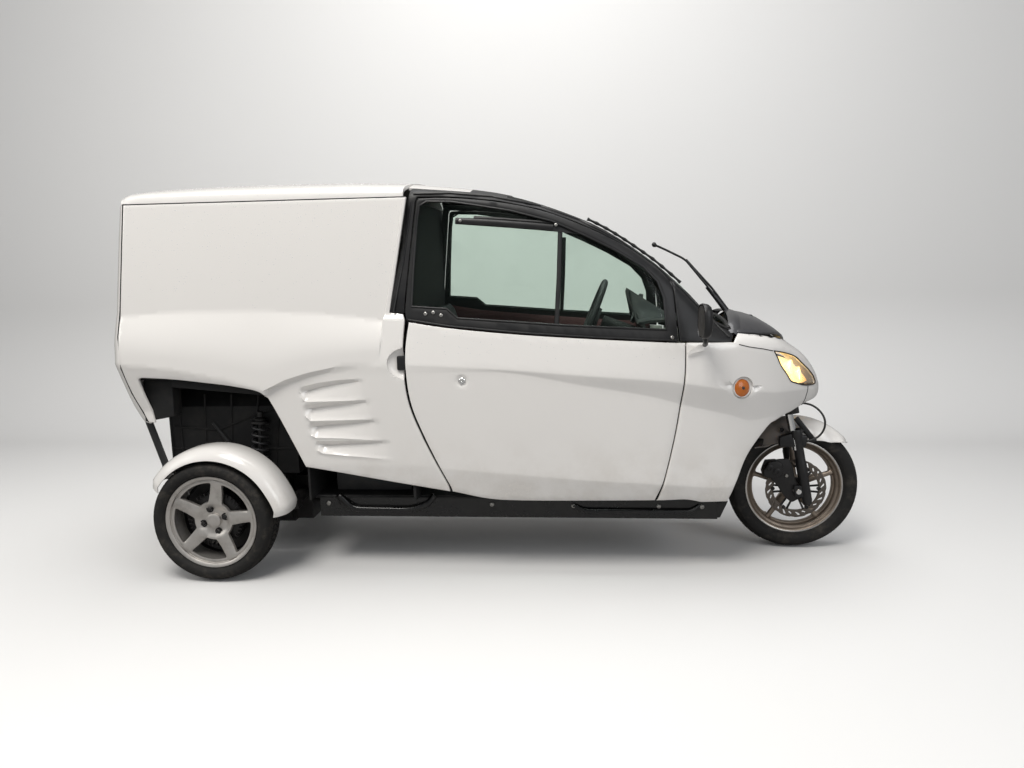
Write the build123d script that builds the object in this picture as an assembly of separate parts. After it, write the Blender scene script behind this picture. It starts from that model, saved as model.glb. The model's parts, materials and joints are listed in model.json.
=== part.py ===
from build123d import *
from math import cos, radians, sin, tan
import os

# Narrow tilting three wheeled car with a cargo box, in millimetres.
# +X is forward, +Y is the car's left, +Z is up, the floor is z = 0 and the origin
# lies under the middle of the whole car.

# Driving sizes of the wheels
FRONT_X = 1188            # front hub
REAR_X = -1060            # rear hubs
REAR_Y = 418              # middle of a rear tyre from the centre line
FRONT_R = 257             # front tyre
FRONT_W = 112
FRONT_LIP = 194
FRONT_RIM_W = 80
REAR_R = 235              # rear tyres
REAR_W = 140
REAR_LIP = 178
REAR_RIM_W = 112
SPOKES = 5

# Driving sizes of the body
FIT = 0.3                 # running and seating clearance between curved faces
GAP = 6                   # seam between a door or lid and the body
SEAM = 0.8                # seam between two fixed panels
WALL = 30                 # doors, cowl and pillars
NOSE_WALL = 8             # thin shell ahead of the firewall
SKIN = 20                 # cargo side, roof and tail panels
GLASS = 5
TAIL_X = -1445
POST_X = -290             # rear end of the cabin
CARGO_Y = 405             # recessed upper side of the cargo box
BULGE = 33                # how far the lower band stands out from it
ROOF_SEAM_Z = 1415
ROOF_Z = 1508
DECK_Z = 765              # underside of the cargo floor
DECK_T = 18
SILL_Z = 210              # underside of the chassis rails
FLOOR_Z = 285             # underside of the cabin floor
FLOOR_T = 12
FLOOR_Y = 313             # half width of the cabin floor
RAIL_Y = 310              # outer face of the chassis rails
RAIL_W = 42
TILT_Z = 200              # height of the tilt axis
TILT_R = 30               # tilt shaft
SPLIT_X = -745            # the tilting body ends here below the cargo floor
RAKE = 11                 # steering axis, degrees from upright
STEER_X = 1190            # steering axis at hub height

# Sections of the cabin and nose. Columns: x, crown z, roof edge y and z, shoulder y and z,
# waist crease y and z, wedge crease y and z, lower crease y and z, bottom edge y and z.
SECTIONS = [
    (POST_X, 1486, 360, 1440, 422, 975, 440, 820, 438, 790, 408, 440, 384, 297),
    (0, 1449, 354, 1413, 425, 940, 440, 803, 439, 794, 412, 415, 384, 297),
    (350, 1336, 346, 1306, 418, 908, 434, 775, 427, 737, 403, 385, 376, 297),
    (600, 1183, 336, 1144, 400, 893, 414, 755, 402, 688, 390, 366, 366, 297),
    (700, 1100, 330, 1052, 386, 886, 398, 742, 384, 658, 376, 355, 356, 297),
    (870, 976, 318, 905, 345, 880, 360, 712, 344, 612, 344, 341, 326, 262),
    (960, 955, 280, 895, 305, 862, 322, 697, 306, 585, 305, 440, 298, 300),
    (1050, 912, 235, 866, 250, 836, 268, 684, 256, 590, 252, 575, 244, 556),
    (1130, 855, 165, 828, 182, 795, 200, 678, 188, 620, 181, 605, 170, 590),
    (1200, 803, 95, 785, 112, 752, 130, 672, 121, 636, 113, 624, 100, 612),
    (1264, 712, 30, 705, 40, 692, 52, 661, 47, 645, 41, 636, 32, 628),
]

# Side outlines as x, z points
ARCH = [(-1276, 605), (-1296, 668), (-1313, 779), (-1149, 773), (-992, 758), (-850, 731), (-831, 728)]
CARGO_SIDE = (
    [(-1333, ROOF_SEAM_Z), (-1372, 1014), (-1372, 744), (-1343, 625), (-1325, 599)]
    + ARCH
    + [(-711, 431), (-352, 370), (-168, 338), (-165, 354), (-251, 543),
       (-301, 692), (-308, 867), (-296, 985), (-360, 1007), (POST_X, ROOF_SEAM_Z)]
)
BAND = [
    (-1372, 1014), (-1145, 1024), (-815, 1024), (-534, 1007), (-364, 985), (-296, 978),
    (-308, 867), (-301, 692), (-251, 543), (-165, 354), (-168, 338),
    (-352, 370), (-372, 480), (-410, 700), (-398, 838), (-557, 828), (-678, 807), (-771, 772),
    (-834, 730), (-850, 731), (-992, 758), (-1149, 773), (-1313, 779), (-1296, 668),
    (-1276, 605), (-1325, 599), (-1343, 625), (-1372, 744),
]
DOOR = [
    (-284, 975), (-296, 867), (-289, 692), (-239, 543), (-153, 354), (-148, 335), (35, 303), (600, 300),
    (631, 381), (672, 567), (697, 750), (700, 884), (676, 889), (650, 1095), (554, 1185),
    (450, 1243), (338, 1297), (226, 1346), (60, 1384), (-231, 1400), (-290, 1006),
]
WINDOW = [
    (-256, 1020), (-122, 985), (257, 949), (640, 923), (638, 1036), (607, 1096), (553, 1153),
    (451, 1213), (334, 1268), (191, 1322), (51, 1358), (-212, 1374),
]
HEADLAMP = [
    (1041, 833), (1084, 828), (1136, 802), (1180, 768), (1203, 738), (1207, 700), (1177, 701), (1139, 711),
    (1106, 724), (1084, 762), (1061, 801),
]
FRONT_ARCH = [
    (860, 190), (893, 255), (912, 292), (934, 360), (960, 428), (1002, 512), (1056, 572),
    (1100, 596), (1150, 600), (1150, 190),
]
COWL_TOP = [(874, 886), (900, 899), (983, 892), (1046, 878), (1140, 842)]
BONNET_BACK = 900
DOOR_IN = 318             # innermost reach of a door
LIP_X = 880               # thin front shell starts here

LATCH = [(-336, 795), (-332, 885), (-318, 890), (-314, 795)]

# Scoops in the cargo side. Columns: left x, right x, top z, lower lip z, right tip z
SCOOPS = [
    (-704, -477, 739, 686, 771),
    (-696, -457, 673, 614, 693),
    (-682, -434, 603, 546, 619),
    (-662, -405, 534, 480, 538),
]


def polygon(points):
    return make_face(Polyline(*points, close=True))


def prism(points, y_low, y_high):
    """Side outline in x and z, made solid between two y values."""
    return extrude(Plane.XZ.offset(-y_high) * polygon(points), y_high - y_low)


def slab(x, y, z):
    """Box from three low and high pairs."""
    size = [high - low for low, high in (x, y, z)]
    middle = [(high + low) / 2 for low, high in (x, y, z)]
    return Pos(*middle) * Box(*size)


def both_sides(shape):
    return shape + mirror(shape, about=Plane.XZ)


def rod(start, end, radius):
    """Round bar from one point to another."""
    line = Vector(*end) - Vector(*start)
    return extrude(Plane(start, z_dir=line) * Circle(radius), line.length)


def bar(start, end, width, height):
    """Flat bar from one point to another, width across y."""
    line = Vector(*end) - Vector(*start)
    plane = Plane(start, x_dir=Vector(0, 1, 0), z_dir=line)
    return extrude(plane * Rectangle(width, height), line.length)


def disc(x, z, radius, y_low, y_high):
    """Cylinder across the car."""
    return extrude(Plane.XZ.offset(-y_high) * Pos(x, z) * Circle(radius), y_high - y_low)


def inset(points, depth):
    """Closed outline moved inwards by depth along every edge."""
    count = len(points)
    area = sum(points[i][0] * points[(i + 1) % count][1] - points[(i + 1) % count][0] * points[i][1]
               for i in range(count))
    turn = 1 if area > 0 else -1
    moved = []
    for i in range(count):
        (ax, az), (bx, bz), (cx, cz) = points[i - 1], points[i], points[(i + 1) % count]
        one = (Vector(bx - ax, bz - az)).normalized()
        two = (Vector(cx - bx, cz - bz)).normalized()
        n1 = Vector(-one.Y, one.X) * turn
        n2 = Vector(-two.Y, two.X) * turn
        scale = depth / (1 + n1.dot(n2))
        moved.append((bx + (n1.X + n2.X) * scale, bz + (n1.Y + n2.Y) * scale))
    return moved


def section(row, depth=0):
    """Closed cabin section of one table row, inset by depth."""
    x, crown, ry, rz, sy, sz, wy, wz, ky, kz, ly, lz, by, bz = row
    half = [(0.62 * ry, rz + 0.78 * (crown - rz)), (ry, rz), (sy, sz), (wy, wz), (ky, kz), (ly, lz), (by, bz)]
    points = [(0, crown)] + half + [(-y, z) for y, z in reversed(half)]
    if depth:
        points = inset(points, depth)
    return Plane.YZ.offset(x) * polygon(points)


def cabin_form(depth, first=0, last=None):
    """Solid of the cabin and nose, every face moved in by depth."""
    rows = SECTIONS[first:last]
    return loft([section(row, depth) for row in rows], ruled=True)


def tyre(x, z, y, radius, width, bead, lip, rim_width):
    """Tyre as a ring with rounded shoulders and a hollow inside."""
    half = width / 2
    seat = rim_width / 2 - 7 - FIT
    shoulder = half - 0.16 * width
    outer = [(-seat, bead), (-seat, lip + 1), (-half, bead + 0.42 * (radius - bead)), (-half + 3, bead + 0.62 * (radius - bead)),
             (-shoulder, radius - 4), (-0.3 * half, radius), (0.3 * half, radius), (shoulder, radius - 4),
             (half - 3, bead + 0.62 * (radius - bead)), (half, bead + 0.42 * (radius - bead)), (seat, lip + 1), (seat, bead)]
    inner = [(seat - 9, bead), (half - 12, bead + 0.45 * (radius - bead)), (half - 18, radius - 13),
             (18 - half, radius - 13), (12 - half, bead + 0.45 * (radius - bead)), (9 - seat, bead)]
    profile = make_face(Polyline(*outer, *inner, close=True))
    ring = revolve(Plane.YZ * profile, Axis.Y)
    return Pos(x, y, z) * ring


def rim_barrel(bead, lip, rim_width):
    """Barrel of a cast wheel round the Y axis with a lip at each edge."""
    half = rim_width / 2
    well = bead - 18
    points = [(-half, lip), (-half + 5, lip), (-half + 7, bead), (-half + 22, bead), (-half + 30, well),
              (half - 30, well), (half - 22, bead), (half - 7, bead), (half - 5, lip), (half, lip),
              (half, bead - 6), (half - 24, bead - 6), (half - 32, well - 6), (-half + 32, well - 6),
              (-half + 24, bead - 6), (-half, bead - 6)]
    return revolve(Plane.YZ * polygon(points), Axis.Y)


def spoke_star(hub_r, reach, root, tip, thick, dish, start, count):
    """Cast spokes from the hub to the barrel, dished by a slope in y."""
    star = None
    for i in range(count):
        inner = Plane((0, 0, 0), z_dir=Vector(1, 0, 0), x_dir=Vector(0, 1, 0))
        low = inner.offset(hub_r - 8) * Rectangle(thick, root)
        high = inner.offset(reach) * Pos(dish) * Rectangle(thick * 0.8, tip)
        one = Rot(0, -(start + i * 360 / count), 0) * loft([low, high], ruled=True)
        star = one if star is None else star + one
    return star


parts = {}

# Rear wheels, turning on stub axles
AXLE_R = 14
HUB_R = 48
DRUM_R = 104
bead_rear = REAR_LIP - 14
for side, sign in (("left", 1), ("right", -1)):
    centre = Pos(REAR_X, sign * REAR_Y, REAR_R)
    parts[f"rear_tyre_{side}"] = tyre(REAR_X, REAR_R, sign * REAR_Y, REAR_R, REAR_W, bead_rear + FIT, REAR_LIP, REAR_RIM_W)
    face_y = REAR_RIM_W / 2 - 22
    barrel = rim_barrel(bead_rear, REAR_LIP, REAR_RIM_W)
    star = Pos(0, face_y - 10, 0) * spoke_star(HUB_R, bead_rear - 16, 50, 34, 24, 8, 8, SPOKES)
    hub = extrude(Plane.XZ.offset(-(face_y + 6)) * Circle(HUB_R), 34)
    bore = extrude(Plane.XZ.offset(-(face_y - 8)) * Circle(AXLE_R + FIT), 60)
    rim = barrel + star + hub - bore
    for i in range(4):
        angle = radians(45 + 90 * i)
        rim -= Pos(33 * cos(angle), face_y + 6, 33 * sin(angle)) * Rot(90, 0, 0) * Cylinder(7, 12)
    if sign < 0:
        rim = mirror(rim, about=Plane.XZ)
    parts[f"rear_rim_{side}"] = centre * rim

GUARD_FRONT = 3           # rear mudguard, degrees above level in front of the hub
GUARD_REAR = 157

# Rear unit that doesn't tilt: drive block, pivot shaft, arms, dampers and mudguards
ARM_Y = 300
ARM_W = 46
ARM_PIVOT_X = -808
ARM_PIVOT_Z = 262
PIVOT_TUBE_R = 24
CARRIER_FRONT = SPLIT_X - 15
carrier = slab((-1240, -850), (-205, 205), (140, 370))
carrier = fillet(carrier.edges().filter_by(Axis.X), 40)
carrier += slab((-870, CARRIER_FRONT - 20), (-150, 150), (TILT_Z - 55, 330))
carrier += rod((CARRIER_FRONT - 30, 0, TILT_Z), (SPLIT_X + 70, 0, TILT_Z), TILT_R)
pivot_end = ARM_Y - ARM_W / 2 - FIT
carrier += disc(ARM_PIVOT_X, ARM_PIVOT_Z, PIVOT_TUBE_R, -pivot_end, pivot_end)
parts["rear_carrier"] = carrier

SHOCK_X = -915
SHOCK_TOP = (SHOCK_X, 634)
SHOCK_FOOT = (SHOCK_X - 22, 300)
LINER_Y = 262
LINER_T = 5
LINER_REAR = -1305
LINER_FRONT = -785
LINER_TOP = [(LINER_Y, 370), (LINER_Y, 640), (205, 700), (-205, 700), (-LINER_Y, 640), (-LINER_Y, 370)]
liner_face = make_face(Polyline(*LINER_TOP, close=True))
inner_face = make_face(Polyline(*inset(LINER_TOP, LINER_T), close=True))
liner = extrude(Plane.YZ.offset(LINER_REAR) * liner_face, LINER_FRONT - LINER_REAR)
liner -= extrude(Plane.YZ.offset(LINER_REAR + LINER_T) * inner_face, LINER_FRONT - LINER_REAR - 2 * LINER_T)
parts["rear_liner"] = liner

for side, sign in (("left", 1), ("right", -1)):
    arm_in, arm_out = ARM_Y - ARM_W / 2, ARM_Y + ARM_W / 2
    outline = [(ARM_PIVOT_X + 34, ARM_PIVOT_Z - 20), (ARM_PIVOT_X + 20, ARM_PIVOT_Z + 32), (SHOCK_FOOT[0], 300),
               (REAR_X + 20, REAR_R + 62), (REAR_X - 20, REAR_R + 62), (REAR_X - 48, REAR_R + 15), (REAR_X - 40, REAR_R - 34),
               (SHOCK_FOOT[0], 205)]
    arm = prism(outline, arm_in, arm_out)
    arm += disc(REAR_X, REAR_R, 40, arm_out - 1, REAR_Y - 30)
    stub_end = REAR_Y + REAR_RIM_W / 2 - 32
    arm += disc(REAR_X, REAR_R, AXLE_R, REAR_Y - 31, stub_end)
    arm += disc(REAR_X, REAR_R, DRUM_R, REAR_Y - 31, REAR_Y + 4)
    shock_low = (SHOCK_FOOT[0], ARM_Y, SHOCK_FOOT[1])
    shock_high = (SHOCK_TOP[0], ARM_Y - 10, SHOCK_TOP[1])
    body = rod(shock_low, shock_high, 13)
    axis = Vector(*shock_high) - Vector(*shock_low)
    for i in range(9):
        at = Vector(*shock_low) + axis * (0.40 + 0.062 * i)
        body += Plane(at, z_dir=axis) * Torus(24, 5)
        body += Plane(at, z_dir=axis) * Cylinder(24, 3)
    body += rod(tuple(Vector(*shock_low) + axis * 0.34), tuple(Vector(*shock_low) + axis * 0.38), 30)
    body += rod((SHOCK_TOP[0], ARM_Y - 20, SHOCK_TOP[1]), (SHOCK_TOP[0], LINER_Y + FIT, SHOCK_TOP[1]), 12)
    arm_cut = rod(shock_low, shock_high, 13)
    arm = arm - arm_cut
    # mudguard swept round the wheel
    guard = [(-72, 266), (-72, 285), (10, 288), (48, 279), (72, 246), (68, 244), (45, 274), (9, 283), (-68, 280), (-68, 266)]
    profile = Plane.XY * polygon([(r, y) for y, r in guard])
    ring = revolve(profile, Axis.Y, GUARD_REAR - GUARD_FRONT)
    ring = Rot(0, -GUARD_REAR, 0) * ring
    stay = slab((-12, 12), (arm_out - REAR_Y, -66), (262, 272))
    stay += slab((-12, 12), (arm_out - REAR_Y, arm_out - REAR_Y + 8), (42, 272))
    ring += stay
    if sign < 0:
        arm, body = (mirror(s, about=Plane.XZ) for s in (arm, body))
        ring = mirror(ring, about=Plane.XZ)
    parts[f"rear_arm_{side}"] = arm
    parts[f"rear_damper_{side}"] = body
    parts[f"rear_mudguard_{side}"] = Pos(REAR_X, sign * REAR_Y, REAR_R) * ring

# Chassis rails, floor and tilt bearing of the body
rail = slab((SPLIT_X + 55, 838), (RAIL_Y - RAIL_W, RAIL_Y), (SILL_Z, FLOOR_Z))
frame = both_sides(rail)
for x in (SPLIT_X + 75, -330, 120, 560, 818):
    frame += slab((x - 20, x + 20), (-RAIL_Y + RAIL_W, RAIL_Y - RAIL_W), (SILL_Z + 6, SILL_Z + 66))
bearing = rod((SPLIT_X + 12, 0, TILT_Z), (SPLIT_X + 80, 0, TILT_Z), TILT_R + 24)
frame += bearing
frame -= rod((SPLIT_X - 20, 0, TILT_Z), (SPLIT_X + 100, 0, TILT_Z), TILT_R + FIT)
parts["chassis_frame"] = frame
parts["cabin_floor"] = slab((SPLIT_X + 40, 862), (-FLOOR_Y, FLOOR_Y), (FLOOR_Z, FLOOR_Z + FLOOR_T))

# Cargo box: side walls with a bulged band, scoops and arch, roof, floor and bulkhead
inner_y = CARGO_Y - SKIN
side_wall = prism(CARGO_SIDE, inner_y, CARGO_Y)
side_wall += prism(BAND, CARGO_Y - 1, CARGO_Y + BULGE)
lower = [(-831, 728), (-834, 730), (-771, 772), (-678, 807), (-557, 828), (-398, 838), (-410, 700), (-372, 480),
         (-352, 370), (-711, 431)]
side_wall += prism(lower, CARGO_Y - 1, CARGO_Y + 10)
for left, right, top, lip, tip in SCOOPS:
    root = Plane((left, CARGO_Y + 9, (top + lip) / 2), x_dir=Vector(0, 0, 1), z_dir=Vector(1, 0, 0))
    height = top - lip
    wedge = [(-height / 2, 0), (height / 2, 0), (-height / 2 + 6, -20)]
    low = root * polygon(wedge)
    shift = Vector(right - left, 0, (tip - top) * 0.5 + height * 0.1)
    high = Plane(root.origin + shift, x_dir=root.x_dir, z_dir=root.z_dir) * polygon([(u * 0.25, v * 0.2) for u, v in wedge])
    side_wall += loft([low, high], ruled=True)
side_wall -= prism(inset(LATCH, -FIT), CARGO_Y + 12 - FIT, CARGO_Y + BULGE + 20)
parts["cargo_side_left"] = side_wall
parts["cargo_side_right"] = mirror(side_wall, about=Plane.XZ)

roof_half = [(0, ROOF_Z), (200, 1494), (330, 1478), (378, 1466), (399, 1446), (CARGO_Y, ROOF_SEAM_Z)]
roof_section = roof_half + [(-y, z) for y, z in reversed(roof_half[1:])]
roof_outline = [(-1376, ROOF_SEAM_Z), (-1366, 1445), (-1330, 1490), (-1280, ROOF_Z + 4),
                (POST_X, ROOF_Z + 4), (POST_X, ROOF_SEAM_Z)]
roof = extrude(Plane.YZ.offset(-1400) * polygon(roof_section), 1400 + POST_X) & prism(roof_outline, -500, 500)
roof_inner = [(y, z - SKIN) if abs(y) < 300 else (y * 0.95, z - SKIN) for y, z in roof_section]
roof_in = extrude(Plane.YZ.offset(-1340) * polygon(roof_inner), 1360 + POST_X)
parts["roof_cap"] = roof - roof_in

deck = slab((-1335, -300), (-inner_y, inner_y), (DECK_Z, DECK_Z + DECK_T))
parts["cargo_floor"] = deck
bulkhead = slab((-300, -290), (-inner_y, inner_y), (FLOOR_Z + FLOOR_T, ROOF_SEAM_Z))
bulkhead += slab((SPLIT_X + 40, SPLIT_X + 48), (-inner_y, inner_y), (FLOOR_Z + FLOOR_T, DECK_Z))
bulkhead += slab((SPLIT_X + 40, -290), (-inner_y + 30, -inner_y + 38), (DECK_Z - 60, DECK_Z))
bulkhead += slab((SPLIT_X + 40, -290), (inner_y - 38, inner_y - 30), (DECK_Z - 60, DECK_Z))
parts["bulkhead"] = bulkhead
parts["battery_block"] = slab((-640, -340), (-240, 240), (FLOOR_Z + FLOOR_T, 560))

# Tailgate: a shallow tray with rounded corners, hinged under the roof
HATCH_HINGE = (-1372, 1408)
tail_outline = [(-1339, 1409), (-1378, 1014), (-1378, 744), (-1349, 625), (-1331, 599), (-1363, 590), (-1396, 606),
                (TAIL_X + 10, 703), (TAIL_X, 821), (TAIL_X + 2, 904), (TAIL_X + 18, 1036), (-1374, 1409)]
plan = Plane.XY.offset(500) * make_face(Polyline((-1300, -CARGO_Y - BULGE + 2), (-1370, -CARGO_Y - BULGE + 6),
                                                (-1415, -385), (TAIL_X, -320), (TAIL_X, 320), (-1415, 385),
                                                (-1370, CARGO_Y + BULGE - 6), (-1300, CARGO_Y + BULGE - 2), close=True))
tail = prism(tail_outline, -500, 500) & extrude(plan, 1000)
upper = slab((-1500, -1300), (CARGO_Y - 2, 500), (1020, 1500))
tail -= both_sides(upper)
lamp_zone = slab((TAIL_X - 5, TAIL_X + 36), (230, 318), (690, 830))
lamps = both_sides(lamp_zone) & tail
tail_in = prism([(-1300, 1385), (-1360, 1385), (TAIL_X + 32, 1000), (TAIL_X + 28, 740), (-1395, 640), (-1300, 640)],
                -375, 375)
parts["tailgate"] = tail - tail_in - both_sides(slab((TAIL_X - 5, TAIL_X + 40), (230 - FIT, 318 + FIT), (690 - FIT, 830 + FIT)))
parts["tail_lamps"] = lamps

# Steering axis
LEAN = radians(RAKE)


def on_axis(t, ahead=0, y=0):
    """Point at t along the steering axis from hub height, ahead of it by a distance."""
    return (STEER_X - t * sin(LEAN) + ahead * cos(LEAN), y, FRONT_R + t * cos(LEAN) + ahead * sin(LEAN))


STEM_R = 15
CROWN_T = 340
CROWN_H = 32
HEAD_TOP = 500
LEG_Y = 98
LEG_AHEAD = 27
CROWN_ROUND = 22
CROWN_FRONT = LEG_AHEAD + 22
CROWN_SIDE = LEG_Y + 17
CROWN_SWEEP = ((CROWN_FRONT - CROWN_ROUND) ** 2 + (CROWN_SIDE - CROWN_ROUND) ** 2) ** 0.5 + CROWN_ROUND + 7

# Cabin skin, cut into doors, pillars, cowl and glass
outer = cabin_form(0)
skin_in = cabin_form(WALL, last=-1)
glass_out = cabin_form(6, last=6)
glass_in = cabin_form(6 + GLASS, last=6)
shell = outer - skin_in
door_hole = inset(DOOR, -GAP)
floor_cut = slab((-400, 1300), (-340, 340), (100, 330))
belt = [(-400, 200), (-400, 1006), (676 + GAP, 889), (720, 881)] + COWL_TOP + [(1400, 842), (1400, 200)]
lower_half = prism(belt, -600, 600)
nose_rows = SECTIONS[5:-1] + [(SECTIONS[-1][0] - NOSE_WALL,) + SECTIONS[-1][1:]]
nose_in = loft([section(row, NOSE_WALL) for row in nose_rows], ruled=True)
nose_in &= slab((LIP_X, 1400), (-500, 500), (0, 1200))
nose_low = [(x, by - NOSE_WALL) for x, *_, by, bz in SECTIONS[6:]]
nose_low[-1] = (nose_low[-1][0] - NOSE_WALL, nose_low[-1][1])
nose_low = [(LIP_X, nose_low[0][1])] + nose_low
nose_open = Plane.XY.offset(480) * polygon(nose_low + [(x, -y) for x, y in reversed(nose_low)])
front_zone = prism([(560, 200), (600 + GAP, 297), (631 + GAP, 381), (672 + GAP, 567), (697 + GAP, 750),
                    (700 + GAP, 882), (720, 880)] + COWL_TOP + [(1400, 860), (1400, 200)], -600, 600)
cowl = shell & front_zone
cowl -= prism(FRONT_ARCH, -600, 600)
cowl -= nose_in
cowl -= extrude(nose_open, 160)
cowl -= rod(on_axis(CROWN_T - 8), on_axis(CROWN_T + CROWN_H + 8), CROWN_SWEEP)
cowl -= slab((560, 900), (-FLOOR_Y - 6, FLOOR_Y + 6), (200, 330))
cowl -= both_sides(prism(HEADLAMP, 100, 400))
marker_x, marker_z, marker_y, marker_r = 914, 710, 330, 35
cowl -= both_sides(disc(marker_x, marker_z, marker_r + FIT, 200, 500))
nose_cut = 1216
parts["nose_cap"] = cowl & slab((nose_cut, 1400), (-300, 300), (400, 1000))
parts["front_cowl"] = cowl - slab((nose_cut - SEAM, 1400), (-300, 300), (400, 1000))
lamp_shell = cabin_form(2) - cabin_form(8, last=-1)
lamp = prism(inset(HEADLAMP, FIT), 100, 400) & lamp_shell
parts["headlamp_lenses"] = both_sides(lamp)
marker = disc(marker_x, marker_z, marker_r, 296, 334)
parts["side_markers"] = both_sides(marker)

upper_zone = shell - lower_half
bonnet_side = [(x, z + SEAM) for x, z in COWL_TOP[1:]]
bonnet_back = BONNET_BACK + SEAM
bonnet_side[0] = (bonnet_back, bonnet_side[0][1])
parts["bonnet_lid"] = shell & prism(bonnet_side + [(1140, 1000), (bonnet_back, 1100)], -600, 600)
screen_hole = prism([(60, 1400), (60, 1700), (1000, 1700), (1000, 990), (884, 990), (875, 930)], -600, 600)
screen_hole &= loft([Plane.YZ.offset(59) * Pos(0, 1200) * Rectangle(560, 1400),
                     Plane.YZ.offset(1001) * Pos(0, 1200) * Rectangle(500, 1400)], ruled=True)
pillars = upper_zone - both_sides(prism(door_hole, DOOR_IN - GAP, 600)) - screen_hole
pillars -= slab((BONNET_BACK, 1400), (-600, 600), (600, 1200))
parts["pillar_frame"] = pillars
screen = (glass_out - glass_in) & screen_hole
screen -= slab((BONNET_BACK, 1400), (-600, 600), (600, 1200))
parts["windscreen"] = screen

for side, sign in (("left", 1), ("right", -1)):
    door = prism(DOOR, DOOR_IN, 600) & shell
    split = prism([(-400, 200), (-400, 985), (-290, 975), (-135, 951), (116, 926), (399, 905), (660, 888), (760, 880),
                   (760, 200)], 50, 650)
    panel = (door & split) - floor_cut
    panel -= disc(-99, 760, 11, 300, 600)
    window_frame = (door - split) - prism(WINDOW, 50, 650)
    glass = prism(inset(WINDOW, 1), 100, 600) & (glass_out - glass_in)
    bits = {"door_panel": panel, "door_frame": window_frame, "door_glass": glass}
    for name, shape in bits.items():
        parts[f"{name}_{side}"] = shape if sign > 0 else mirror(shape, about=Plane.XZ)


# Black post band behind the door, door seals and latches
band = prism([(-357, 1010), (POST_X, 1376), (POST_X, 1010)], inner_y, CARGO_Y - 4)
parts["pillar_frame"] += both_sides(band)
seal_skin = cabin_form(WALL + FIT, last=6) - cabin_form(WALL + 5, last=6)
seal = prism(inset(DOOR, -14), 250, 600) - prism(inset(DOOR, 10), 250, 600) - prism(CARGO_SIDE, 250, 600)
seal -= slab((-400, 800), (240, 345), (280, 345))
seal -= slab((-400, 800), (240, 600), (870, 1600))
latch = prism(LATCH, CARGO_Y + 12, CARGO_Y + BULGE + 2)
parts["door_latches"] = both_sides(latch)
hatch_strip = slab((-1333, -1322), (365, inner_y), (800, 1330)) + slab((-1366, -1322), (365, 375 - FIT), (800, 1330))
parts["door_seals"] = both_sides((seal & seal_skin) + hatch_strip)

# Bent tube under each sill
tube_y = FLOOR_Y + 10
tube_path = FilletPolyline((-618, 318), (-624, 280), (-592, 254), (-430, 254), (-312, 284), radius=16)
tube_line = Plane.XZ.offset(-tube_y) * tube_path
tube = sweep(Plane(tube_line @ 0, z_dir=tube_line % 0) * Circle(8), tube_line)
for x, z in ((-622, 272), (-350, 274)):
    tube += disc(x, z, 7, RAIL_Y, tube_y)
tube += slab((581, 775), (RAIL_Y, RAIL_Y + 16), (236, 252))
parts["sill_tubes"] = both_sides(tube)

# Firewall and steering head that carry the fork
firewall = slab((862.5, 869.5), (-400, 400), (FLOOR_Z, 900)) & cabin_form(WALL + FIT, last=7)
head = rod(on_axis(CROWN_T + CROWN_H + 4), on_axis(HEAD_TOP), STEM_R + 16)
for sign in (1, -1):
    head += bar((869, sign * 120, 690), on_axis(430, 0, sign * 18), 24, 44)
head -= rod(on_axis(CROWN_T), on_axis(HEAD_TOP + 20), STEM_R + FIT)
parts["steering_head"] = head + firewall

# Fork, front mudguard, caliper and hose, all turning with the steering
LEG_R = 21
STANCHION_R = 15
AXLE_FRONT_R = 9
fork = rod(on_axis(CROWN_T), on_axis(HEAD_TOP - 6), STEM_R)
crown = Plane(on_axis(CROWN_T + CROWN_H / 2), x_dir=Vector(0, 1, 0), z_dir=Vector(*on_axis(1)) - Vector(*on_axis(0)))
yoke = crown * Pos(0, -LEG_AHEAD / 2) * extrude(RectangleRounded(2 * CROWN_SIDE, CROWN_FRONT + 22, CROWN_ROUND), CROWN_H / 2, both=True)
fork += yoke
legs = []
for sign in (1, -1):
    y = sign * LEG_Y
    fork += rod(on_axis(150, LEG_AHEAD, y), on_axis(CROWN_T + 1, LEG_AHEAD, y), STANCHION_R)
    fork += rod(on_axis(-62, LEG_AHEAD, y), on_axis(205, LEG_AHEAD, y), LEG_R)
    lug = [on_axis(-40, LEG_AHEAD), on_axis(40, LEG_AHEAD), on_axis(20, -22), on_axis(-20, -22)]
    fork += prism([(x, z) for x, _, z in lug], y - 12, y + 12)
fork += disc(FRONT_X, FRONT_R, AXLE_FRONT_R, -LEG_Y - 16, LEG_Y + 16)
spacer = disc(FRONT_X, FRONT_R, 14, 64, LEG_Y - 10)
fork += both_sides(spacer)
parts["fork"] = fork

FRONT_GUARD_R = 286
FRONT_GUARD_Y = 68
FRONT_GUARD_AHEAD = 40
FRONT_GUARD_BACK = 148
guard = [(-FRONT_GUARD_Y, 262), (-FRONT_GUARD_Y, 276), (-40, FRONT_GUARD_R - 1), (0, FRONT_GUARD_R), (40, FRONT_GUARD_R - 1),
         (FRONT_GUARD_Y, 276), (FRONT_GUARD_Y, 262), (FRONT_GUARD_Y - 4, 262), (FRONT_GUARD_Y - 4, 273),
         (38, FRONT_GUARD_R - 5), (0, FRONT_GUARD_R - 4), (-38, FRONT_GUARD_R - 5), (4 - FRONT_GUARD_Y, 273),
         (4 - FRONT_GUARD_Y, 262)]
guard_ring = revolve(Plane.XY * polygon([(r, y) for y, r in guard]), Axis.Y, FRONT_GUARD_BACK - FRONT_GUARD_AHEAD)
guard_ring = Pos(FRONT_X, 0, FRONT_R) * Rot(0, -FRONT_GUARD_BACK, 0) * guard_ring
tab_low, tab_high = on_axis(262, LEG_AHEAD), on_axis(290, LEG_AHEAD)
tab = slab((tab_low[0] - 14, tab_low[0] + 10), (FRONT_GUARD_Y - 2, LEG_Y - STANCHION_R + 1), (tab_low[2] + 2, tab_high[2]))
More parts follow.
